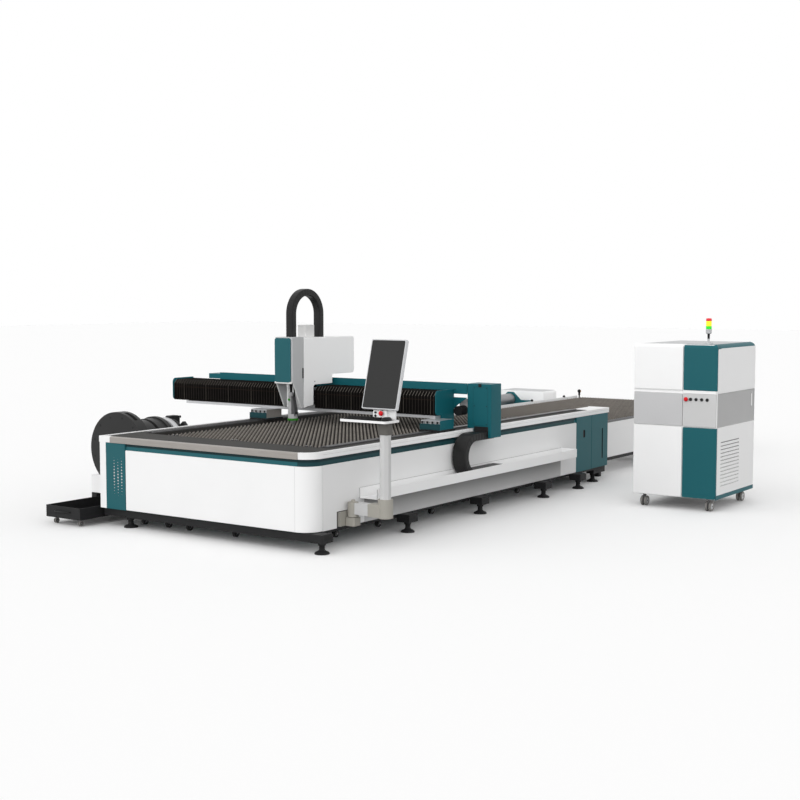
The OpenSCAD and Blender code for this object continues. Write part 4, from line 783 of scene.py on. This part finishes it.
def make_bellows(name, node, x0, x1, pitch):
    """Pleated way cover: an inverted channel whose pleats run round its front and top."""
    count = round((x1 - x0) / pitch)
    pitch = (x1 - x0) / count
    deep, wall, ridge, seam, bend, stiff_every = 15.0, 5.0, 6.0, 1046, 40, 9
    back = GANTRY_Y - GAP
    stations = []
    for i in range(count):
        x = x0 + i * pitch
        stations += [(x, 1.0), (x + (pitch - ridge) / 2, 0.0), (x + (pitch + ridge) / 2, 0.0)]
    stations.append((x1, 1.0))
    inner_f, inner_t = BELLOWS_Y + deep + wall, BELLOWS_TOP - deep - wall
    inside = [(back, inner_t), (inner_f + bend, inner_t), (inner_f, inner_t - bend), (inner_f, BELLOWS_Z)]
    rows = []
    for x, share in stations:
        f, t = BELLOWS_Y + deep * share, BELLOWS_TOP - deep * share
        outside = [(f, BELLOWS_Z), (f, seam - 4), (f, seam + 4), (f, t - bend), (f + bend, t), (back, t)]
        rows.append([(x, p, q) for p, q in outside + inside])

    def cloth(i, k):
        """The material of face k in band i: a crest's bend in lighter cloth as a painted highlight, the seam,
        a stiffener, a ridge or plain cloth.
        """
        crest = i % 3 == 1
        # the bend of each crest in lighter cloth: painted highlight
        if crest and k == 3:
            return 3
        if k == 1:
            return 4
        if crest and k < 5:
            return 2 if (i // 3) % stiff_every == stiff_every // 2 else 1
        return 0

    form = Form()
    form.skin(rows)
    form.slots = [cloth(i, k) for i in range(len(rows) - 1) for k in range(len(rows[0]))] + [0, 0]
    form.build_across(name,
                      [CLOTH, CLOTH_RIDGE, CLOTH_STIFF, CLOTH_CREST_HIGHLIGHT, CLOTH_SEAM], node, 25)


def chain_band(form, path, width, thick, pitch):
    """A closed cable chain along a path in the y-z plane: a rounded band with a fine seam at every link."""
    path = [Vector(p) for p in path]
    lengths = [0.0]
    for a, b in zip(path, path[1:]):
        lengths.append(lengths[-1] + (b - a).length)
    count = round(lengths[-1] / pitch)
    pitch = lengths[-1] / count
    section = oblong(-width / 2, -thick / 2, width / 2, thick / 2, thick * 0.16)

    def station(s, size):
        i = 0
        while i < len(path) - 2 and lengths[i + 1] < s:
            i += 1
        share = (s - lengths[i]) / (lengths[i + 1] - lengths[i])
        before = path[i + 1] - path[max(i - 1, 0)]
        after = path[min(i + 2, len(path) - 1)] - path[i]
        out = AXES["x"].cross(before.normalized().lerp(after.normalized(), share).normalized())
        middle = path[i].lerp(path[i + 1], share)
        return [middle + AXES["x"] * p * size + out * q * size for p, q in section]

    seam = 0.994
    link = ((0.0, seam), (0.04, 1.0), (0.5, 1.0), (0.96, 1.0))
    rows = [station((i + share) * pitch, size) for i in range(count) for share, size in link]
    form.skin(rows + [station(lengths[-1], seam)])


def arc(x, y, z, r, a0, a1, steps=60):
    turns = [a0 + (a1 - a0) * k / steps for k in range(steps + 1)]
    return [(x, y + r * math.cos(a), z + r * math.sin(a)) for a in turns]


def make_chains():
    side = Form()
    x, yc, zc, r, thick, run_end = 1250, 2172, 563.4, 197, 70, 2660
    mid = r - thick / 2
    loop = arc(x, yc, zc, mid, math.pi / 2, math.pi * 1.5)
    chain_band(side, [(x, 2475, zc + mid)] + loop + [(x, run_end, zc - mid)], 138, thick, 46)
    side.build_across("side_chain_links", [CHAIN], "x_chain", 50)
    lift = Form()
    x, yc, zc, r, thick = SADDLE_X, 2032, 1805, 240, 66
    mid = r - thick / 2
    loop = arc(x, yc, zc, mid, math.pi, 0)
    chain_band(lift, [(x, yc - mid, 1594.6)] + loop + [(x, yc + mid, 1584.6)], 80, thick, 40)
    lift.build_across("lift_chain_links", [CHAIN], "z_chain", 50)


def make_gantry():
    dressed("gantry_beam", ALUMINIUM, 2)
    dressed("gantry_tray", TEAL_GANTRY, 2)
    dressed("leg_box", [TEAL_GANTRY, SOFT_BLACK, PANEL_GREY], 3, 3,
            pick=lambda m, n: 0 if m.x > 1100 else (1 if m.y < 2439 else 2))
    dressed("bellows_ends", TEAL_GANTRY, 2)
    fronts = Form()
    for foot in (-1000, 1000):
        fronts.box((foot - 108, 1893, 799), (foot + 108, 1895.4, 849), 3)
        for k in range(4):
            x = foot - 81 + 54 * k
            fronts.prism(oblong(x - 9, 852, x + 9, 872, 3), "y", 1893.4, 1896, 1)
    x0, x1, z0, z1, line, inset = 1163, 1319, 810, 1163, 2, 14
    for a, b, c, d in ((x0, z0, x1, z0 + line), (x0, z1 - line, x1, z1),
                       (x0, z0, x0 + line, z1), (x1 - line, z0, x1, z1)):
        fronts.box((a, GANTRY_Y - 0.6, b), (c, GANTRY_Y + 1, d), 2)
    for x in (x0 + inset, x1 - inset):
        for z in (z0 + inset, (z0 + z1) / 2, z1 - inset):
            fronts.lathe((x, GANTRY_Y, z), "y", [(5, 0.5), (5, -1.4), (3, -2)], 2, 12)
    fronts.prism(oblong(1222, 1158, 1252, 1189, 4), "y", GANTRY_Y - 6, GANTRY_Y + 5, 1)
    fronts.prism(oblong(1176, 704, 1324, 802, 3), "y", GANTRY_Y - 1.5, GANTRY_Y + 3, 1)
    fronts.box((966, GANTRY_Y - 0.8, 1126), (974, GANTRY_Y + 1, 1136), 1)
    fronts.build("gantry_front_trim", "gantry", [TEAL_GANTRY, SOFT_BLACK, TEAL_DARK, TEAL_BAND],
                 (), bevel=0.8)
    dressed("gantry_feet", [SOFT_BLACK, TEAL_GANTRY, ALUMINIUM, WARM_BAR], 2,
            pick=lambda m, n: 0 if m.z < 797.5 else (3 if n.x * m.x < -0.5 else (1 if m.z < 848 else 2)))
    left, right = SADDLE_X - SADDLE_HALF, SADDLE_X + SADDLE_HALF
    make_bellows("way_cover_left", "bellows_left", BEAM_LEFT + GAP, left - GAP, 34.0)
    make_bellows("way_cover_right", "bellows_right", right - 38, BEAM_RIGHT - GAP, 33.0)


make_gantry()
make_chains()


# carriage and head

def make_carriage():
    form = Form()
    outline = [(1866, 925), (2006, 945), (2006, 1137), (2299, 1137), (2299, 1226), (2647, 1226),
               (2647, 1584), (1866, 1584)]
    outline = rounded(outline, [0, 8, 30, 10, 10, 30, 30, 6])
    form.prism(outline, "x", SADDLE_X - SADDLE_HALF, SADDLE_X + SADDLE_HALF)
    for z in (940, 1020):
        form.box((-612, 2006, z), (-444, 2085.6, z + 60), 1)
    # the saddle cover takes the lighter white: painted light
    form.build("saddle_cover", "carriage", [WHITE_LIT, STEEL], ["saddle"], bevel=4, segments=3)
    motor = Form()
    motor.prism(oblong(-567, 1978, -472, 2113, 5), "z", 1584.4, 1700)
    motor.prism(oblong(-562, 1983, -477, 2108, 5), "z", 1699, 1703)
    motor.build("motor_cover_folded", "carriage", [POST_GREY], ["motor_cover"], bevel=2, segments=2)
    dressed("head_box", GREY, 3, 3)
    dressed("head_cover", TEAL, 3, 3)
    trim = Form()
    # lighter strips along the gussets' slanted front edges: painted highlight
    for x in (-610, -408):
        trim.prism([(1702, 1166), (1711, 1166), (1828, 925), (1818, 925)], "x", x - 0.7, x + 8.7)
    trim.prism(oblong(-609, 1160, -401, 1180, 6), "y", 1684, 1694)
    trim.prism(oblong(1838, 1204, 1858, 1304, 8), "x", -402, -398.6, 1)
    trim.build("head_box_trim", "head", [POST_GREY, SLOT_DARK], (), bevel=1.2)
    plugs = Form()
    for y in (1905, 1965):
        plugs.lathe((-432, y, 0), "z", [(24, 934), (24, 926), (20, 924), (20, 919), (16, 917)], 0, 24)
    plugs.lathe((-399.6, 2025, 1168), "x", [(5, -1), (5, 0.8), (2, 0.8)], 1, 12)
    plugs.build("saddle_plugs", "carriage", [TRIM_GREY, SLOT_DARK], ())


def make_laser_head():
    x, y = -470, 1780
    form = Form()
    for at, profile, slot, steps in (
            (x - 20, [(14, 1164.6), (14, 1140), (12, 1136), (12, 1072)], 1, 24),
            (x - 20, [(18, 1076), (24, 1070), (26, 1064), (26, 1030), (24, 1026), (24, 1022)], 0, 32),
            (x - 20, [(26, 1022), (26.5, 1018), (26.5, 996), (26, 992)], 0, 32),
            (x - 20, [(25, 992), (25, 978), (28, 972), (28, 905), (30, 898), (30, 866)], 0, 32),
            (x + 20, [(9, 1030), (9, 1054), (6, 1058), (6, 1162)], 1, 16),
            (x, [(40, 872), (44, 866), (44, 846), (46, 840), (46, 830)], 0, 36),
            (x, [(48, 832), (50, 830), (50, 813), (48, 811)], 2, 40),
            (x, [(26, 811), (26, 800), (19, 789), (8, 773), (5.5, 771)], 4, 28)):
        form.lathe((at, y, 0), "z", profile, slot, steps)
    form.prism(oblong(x - 36, 997, x - 10, 1017, 3), "y", y - 29, y - 24, 2)
    slope = rounded([(x + 2, 850), (x + 42, 850), (x + 42, 905), (x + 14, 1040), (x + 2, 1040)], 4)
    form.prism(slope, "y", y - 24, y + 24, 3)
    for k in range(3):
        form.lathe((x + 42, y - 14 + 14 * k, 884), "x", [(6, -1), (6, 8), (4, 11)], 1, 12)
    form.build("laser_head_barrel", "head", [HEAD_STEEL, SOFT_BLACK, GREEN, DARK_STEEL, ALUMINIUM],
               ["laser_head"], bevel=1.0)


make_carriage()
make_laser_head()


# console

def stop_button(name, body, node, centre):
    """An emergency stop: a black stem and a domed red cap, facing the front."""
    form = Form()
    form.lathe(centre, "y", [(11, 4), (11, -13), (14, -13.5)], 1, 24)
    form.lathe(centre, "y", [(18.5, -12), (20, -13.5), (20, -18), (17, -22.5), (11, -25.3), (2, -26)])
    form.build(name, body, [RED, SOFT_BLACK], [node], smooth=50)


def make_keyboard():
    form = Form()
    x0, y0, z0, thick, margin = 1168, 397, TRAY_TOP, 10, 10
    form.prism(oblong(x0, y0, x0 + 325, y0 + 125, 8), "z", z0, z0 + thick)
    cols, rows, key, line, rise, tilt = 18, 5, 17, 21, 7, 0.14
    for r in range(rows):
        c = 0
        while c < cols:
            wide = 6 if r == 0 and c == 5 else (2 if c in (0, 16) and r in (1, 2) else 1)
            a, b = x0 + 9 + c * key, x0 + 9 + (c + wide) * key - 2
            f, g = y0 + margin + r * line, y0 + margin + (r + 1) * line - 3
            form.skin([[(a + d, f + d, z), (b - d, f + d, z), (b - d, g - d, z), (a + d, g - d, z)]
                       for d, z in ((0, z0 + thick), (2, z0 + thick + rise))], 1)
            c += wide
    for point in form.points:
        if point.z > z0 + 1:
            point.z += (point.y - y0) * tilt
    form.build("keyboard_keys", "console", [SOFT_BLACK, RUBBER], ["keyboard"], bevel=0.8)


def make_mouse():
    form = Form()
    x, y, rings, steps = 1555, 464, 8, 28

    def squared(c):
        return math.copysign(abs(c) ** 0.8, c)

    turns = [2 * math.pi * k / steps for k in range(steps)]
    rows = []
    for i in range(rings + 1):
        lift = math.sin(math.pi / 2 * i / rings)
        size = max(math.cos(math.pi / 2 * i / rings), 0.02) ** 0.45
        rows.append([(x + 33 * size * squared(math.cos(a)), y + 56 * size * squared(math.sin(a)) - 5 * lift,
                      TRAY_TOP + 42 * lift) for a in turns])
    form.skin(rows)
    form.lathe((x, y - 24, TRAY_TOP + 35), "x", [(6, -3), (7, -2), (7, 2), (6, 3)], 1, 18)
    form.build("mouse_shell", "console", [SOFT_BLACK, RUBBER], ["mouse"], smooth=60)


def make_console():
    dressed("console_bracket", BEIGE, 3)
    dressed("console_arm", [PANEL_GREY, BEIGE], 3, 3,
            pick=lambda m, n: 1 if m.z < 401 and (m.x < 1268 or m.x > 1453) else 0)
    casting = Form()
    casting.prism(oblong(1384, 437, 1500, 533, 8), "z", 256, 358)
    casting.build("console_arm_casting", "arm", [BEIGE], (), bevel=3, segments=3)
    # the turning joint takes the darkened cast coat: painted shade under the tray
    dressed("console_joint", JOINT_SHADED, 4, 3)
    dressed("console_tray", WHITE, 2)
    dressed("switch_box", WHITE, 2)
    dressed("monitor", SILVER, 3, 3)
    dressed("monitor_screen", SCREEN, 0.6)
    make_keyboard()
    make_mouse()
    face = 506
    stop_button("console_stop_mushroom", "console_stop", "console_estop", (1477.8, face, 1070.8))
    buttons = Form()
    for z in (1050.2, 1075.8):
        buttons.lathe((1417.1, face, z), "y", [(11, 0), (11, -3), (9.4, -4)], 1, 24)
        buttons.lathe((1417.1, face, z), "y", [(8.8, -3), (8.8, -8), (7.5, -9)], 0, 24)
    buttons.build("console_button_caps", "console", [SOFT_BLACK, STEEL], ["console_buttons"], smooth=50)


make_console()


# tube unit and scrap cart

def make_tube_unit():
    dressed("tube_bed", [WHITE, STEEL, BLACK], 3,
            pick=lambda m, n: 2 if m.z < 180 else (1 if m.z > 331 else 0))
    dressed("chuck_housing", [WHITE, BLACK, DISC], 4,
            pick=lambda m, n: 1 if m.z < 115 else (2 if m.z > 285.5 else 0))
    dressed("chuck_rotor", DISC, 9, 2)
    c = Vector((TUBE_X, 0, TUBE_Z))
    sockets = Form()
    for k in range(12):
        a = math.radians(30 * k + 15)
        for r in (160, 300):
            x, z = TUBE_X + r * math.cos(a), TUBE_Z + r * math.sin(a)
            sockets.lathe((x, 640, z), "y", [(8, 1), (8, -1.2), (5, -1.2), (4.4, 0.4)], 0, 20)
    sockets.build("rotor_sockets", "rotor", [SLOT_DARK], ())
    jaws = Form()
    for slot, profile in enumerate((
            [(110, 1200), (244, 1200), (252, 1206), (252, 1262), (246, 1270), (110, 1270)],
            [(110, 1270), (236, 1270), (240, 1276), (240, 1324), (234, 1330), (110, 1330)])):
        jaws.lathe(c, "y", profile, slot, 64, True)
    steps = [(128, 1330), (268, 1330), (268, 1372), (240, 1380),
             (240, 1408), (206, 1416), (206, 1450), (128, 1450)]
    prong = rounded([(150, 1296), (254, 1296), (262, 1310), (262, 1400), (246, 1440), (150, 1440)], 5)

    def turned(degrees):
        return Matrix.Translation(c) @ Matrix.Rotation(math.radians(degrees), 4, "Y")

    for k in range(4):
        jaws.turn = turned(45 + 90 * k)
        jaws.prism(steps, "z", -35, 35, 1)
        jaws.lathe((180, 1450, 0), "y", [(14, -2), (14, 0.5), (9, 0.5)], 2, 20)
        jaws.turn = turned(90 * k)
        jaws.prism(prong, "z", -26, 26, 1)
        for z in (-15, 15):
            jaws.lathe((244, 1380, z), "y", [(8, 0), (8, 66), (12, 68), (12, 78), (8, 82)], 1, 16)
    jaws.build("chuck_jaw_set", "rotor", [SILVER, SOFT_BLACK, STEEL], ["chuck_jaws"], bevel=2.0)
    dressed("rear_slide", TEAL, 3)
    drum = Form()
    profile = [(40, 7395), (72, 7395), (80, 7403)]
    for k in range(14):
        y = 7420 + 27 * k
        profile += [(80, y), (75, y + 3), (75, y + 9), (80, y + 12)]
    profile += [(80, 7810), (76, 7814.6), (70, 7814.6), (70, 7867), (40, 7867)]
    drum.lathe(c, "y", profile, 0, 56, True)
    drum.build("rear_drum_turned", "rear_spindle", [STEEL], ["rear_drum"])
    # upward faces in grey: painted shade on the housing's top
    dressed("rear_housing", [WHITE, GREY], 6, 3, pick=lambda m, n: 1 if n.z > 0.9 else 0)


def caster(form, x, y, top, r, thick):
    """Twin-wheel swivel caster: plate, race, cranked fork, two tyres and their hubs."""
    form.box((x - r * 0.65, y - r * 0.65, top - 5), (x + r * 0.65, y + r * 0.65, top - 0.4), 1)
    form.lathe((x, y, top), "z", [(r * 0.42, -5), (r * 0.5, -9), (r * 0.42, -14)], 1, 24)
    cheek = [(y - r * 0.5, top - 12), (y + r * 0.5, top - 12),
             (y + r * 0.34, r * 0.62), (y - r * 0.34, r * 0.62)]
    form.prism(rounded(cheek, [2, 2, r * 0.22, r * 0.22]), "x", x - thick * 0.16, x + thick * 0.16, 1)
    wide = thick * 0.52
    for s in (-1, 1):
        m = x + s * (thick * 0.18 + wide / 2)
        tread = [(r * 0.6, -wide * 0.45), (r * 0.9, -wide * 0.5), (r, -wide * 0.3), (r, wide * 0.3),
                 (r * 0.9, wide * 0.5), (r * 0.6, wide * 0.45)]
        form.lathe((m, y, r), "x", tread, 0, 36, True)
        hub = [(r * 0.2, -wide * 0.44), (r * 0.6, -wide * 0.38),
               (r * 0.6, wide * 0.38), (r * 0.2, wide * 0.44)]
        form.lathe((m, y, r), "x", hub, 2, 28)
    form.lathe((x, y, r), "x", [(r * 0.16, -thick * 0.74), (r * 0.16, thick * 0.74)], 1, 6)


def make_cart():
    dressed("cart", BLACK, 2)
    handle = Form()
    handle.tube([(-1500, -199, 122), (-1500, -214, 122), (-1488, -222, 122),
                 (-1332, -222, 122), (-1320, -214, 122), (-1320, -199, 122)], 6, 12)
    handle.build("cart_handle", "scrap_cart", [SOFT_BLACK], (), smooth=50)
    wheels = Form()
    for x in (-1563, -1257):
        for y in (-138, 498):
            caster(wheels, x, y, 62, 24, 18)
    wheels.build("cart_caster_set", "scrap_cart", [CASTER_GREY, ALUMINIUM, DARK_STEEL],
                 ["cart_casters"], bevel=0.6)


make_tube_unit()
make_cart()


# control cabinet

def shell_material(m, n):
    """The cabinet shell's materials by place: key field, side band, its end, vent, the top in grey as painted
    shade, else white.
    """
    in_band = CAB_MID0 < m.z < CAB_MID1
    if m.x > CAB_SPLIT and m.y < CAB_FACE - 0.5 and m.z < CAB_MID1:
        return 1
    if CAB_X1 - 6.5 < m.x < CAB_X1 - 5.5 and in_band:
        return 2
    if CAB_X1 - 6 < m.x < CAB_X1 - 0.2 and in_band and m.y > CAB_Y1 - 90:
        return 3
    if CAB_X1 - 6.5 < m.x < CAB_X1 - 0.2 and m.z < CAB_MID0:
        return 4
    # the top in grey: painted shade
    return 5 if m.z > CAB_TOP - 1 else 0


def cabinet_head(name, low, high, edges, material, stands_for):
    """A block whose named edges are rounded wide; an edge is named by the two faces that meet there."""
    form = Form()
    form.box(low, high)
    bm = bmesh.new()
    verts = [bm.verts.new(place(p)) for p in form.points]
    for face in form.faces:
        bm.faces.new([verts[i] for i in face])
    bmesh.ops.recalc_face_normals(bm, faces=bm.faces[:])
    ways = {"top": AXES["z"], "front": -AXES["y"], "right": AXES["x"]}

    def met_at(edge):
        return {way for face in edge.link_faces for way in ways if face.normal.dot(ways[way]) > 0.9}

    chosen = [edge for edge in bm.edges if met_at(edge) in edges]
    bmesh.ops.bevel(bm, geom=chosen, offset=34 * MM, segments=8, affect="EDGES", profile=0.5)
    mesh = bpy.data.meshes.new(name)
    bm.to_mesh(mesh)
    bm.free()
    mesh.materials.append(material)
    smooth_shade(mesh, angle=30)
    obj = bpy.data.objects.new(name, mesh)
    round_edges(obj, width=3, segments=2, angle=50)
    settle(obj, "bed", stands_for)


def make_cabinet_panels():
    dressed("cabinet_shell", [WHITE, PANEL_GREY, DARK_BAND, ALUMINIUM, VENT_GREY, GREY], 1.5,
            pick=shell_material)
    dressed("cabinet_door_l", WHITE, 4, 3)
    dressed("cabinet_door_r", TEAL_CABINET, 4, 3)
    dressed("cabinet_window", WINDOW, 3, 3)
    low, high, back = CAB_MID1 + 26, CAB_TOP + 1, CAB_Y0 + 90
    cabinet_head("cabinet_head_white", (CAB_X0 + 6, CAB_Y0 - 0.6, low), (CAB_SPLIT - 4, back, high),
                 [{"top", "front"}], WHITE, ())
    cabinet_head("cabinet_head_teal", (CAB_SPLIT + 4, CAB_Y0, low), (CAB_X1 + 1, back, high),
                 [{"top", "front"}, {"top", "right"}], TEAL_CABINET, ["cabinet_trim"])
    strip = Form()
    first, steps, r, thin = math.asin(0.42), 12, 61.5, 0.955
    turns = [first + (math.pi / 2 - first) * k / steps for k in range(steps + 1)]
    ring, inner = ([(CAB_X1 - 60 + size * math.cos(a), CAB_TOP - 60 + size * math.sin(a)) for a in turns]
                   for size in (r, r * thin))
    strip.prism(ring + inner[::-1], "y", CAB_Y0 + 60, CAB_Y1)
    strip.box((CAB_X1 - 8, CAB_Y0 + 10, CAB_BASE - 0.5), (CAB_X1 + 1.2, CAB_Y1, CAB_BASE + 38))
    strip.box((CAB_X1 - 9, CAB_Y0 + 1, CAB_BASE + 20), (CAB_X1 + 1.2, CAB_Y0 + 22, CAB_MID0 - 3))
    strip.prism(oblong(CAB_Y1 - 84, 925, CAB_Y1 - 66, 1045, 8), "x", CAB_X1 - 5, CAB_X1 - 0.6, 1)
    strip.build("cabinet_edge_strips", "bed", [TEAL_CABINET, WHITE], (), bevel=1)
    side = Form()
    side.prism(oblong(CAB_Y0 + 15, CAB_MID1 + 4, CAB_Y1 - 4, CAB_TOP - 38, 14), "x", CAB_X1 - 4, CAB_X1 + 2)
    vent_y, vent_wide, vent_low, vent_top, rows, cols = 3755, 452, 231, 625, 13, 25
    for i in range(rows):
        for k in range(cols):
            y = vent_y + (k + 0.5) * vent_wide / cols
            z = vent_low + i * (vent_top - vent_low) / (rows - 1)
            side.box((CAB_X1 - 5.5, y - 3.2, z - 1), (CAB_X1 - 0.4, y + 3.2, z + 9))
    side.build("cabinet_side_panel", "bed", [WHITE], (), bevel=0.6)
    band = Form()
    band.box((CAB_SPLIT + 4, CAB_Y0 + 0.6, CAB_MID1 - 3), (CAB_X1 - 8, CAB_FACE, CAB_MID1 + 25))
    band.build("cabinet_head_rail", "bed", [WHITE], (), bevel=1.5)


def make_cabinet_fittings():
    right = CAB_X1 - CAB_SPLIT
    key_z = CAB_MID0 + 0.82 * (CAB_MID1 - CAB_MID0)
    stop = (CAB_SPLIT + 0.08 * right + 10, CAB_Y0, key_z)
    stop_button("cabinet_stop_mushroom", "cabinet_stop", "cabinet_estop", stop)
    buttons = Form()
    for share in (0.235, 0.395, 0.56, 0.72):
        x = CAB_SPLIT + share * right
        buttons.lathe((x, CAB_Y0, key_z), "y", [(16, 0), (16, -3), (13.5, -4.5)], 1, 28)
        buttons.lathe((x, CAB_Y0, key_z), "y", [(12.5, -3), (12.5, -8), (11, -9)], 0, 28)
    buttons.build("cabinet_button_caps", "bed", [SOFT_BLACK, DARK_STEEL], ["cabinet_buttons"], smooth=50)
    wheels = Form()
    for x in (CAB_X0 + 90, CAB_X1 - 90):
        for y in (CAB_Y0 + 90, CAB_Y1 - 90):
            caster(wheels, x, y, CAB_BASE, 46, 42)
    wheels.build("cabinet_caster_set", "bed", [CASTER_GREY, DARK_STEEL, SILVER],
                 ["cabinet_casters"], bevel=0.8)
    tower = Form()
    for profile, slot in (
            ([(42, 1535), (42, 1545), (36, 1551), (14, 1553), (10, 1558), (10, 1590)], 0),
            ([(10, 1588), (11, 1590), (11, 1630), (13, 1633)], 4),
            ([(20, 1633), (26, 1641), (26, 1676)], 0),
            ([(24, 1676), (26, 1678), (26, 1701), (24, 1703)], 1),
            ([(24, 1703), (26, 1705), (26, 1747), (24, 1749)], 2),
            ([(24, 1749), (26, 1751), (26, 1768), (22, 1774), (10, 1776)], 3)):
        tower.lathe((2839.6, 3724, 0), "z", profile, slot)
    tower.build("signal_tower_lamps", "bed", [GREY, LAMP_GREEN, LAMP_YELLOW, LAMP_RED, SOFT_BLACK],
                ["signal_tower"], smooth=35)


make_cabinet_panels()
make_cabinet_fittings()
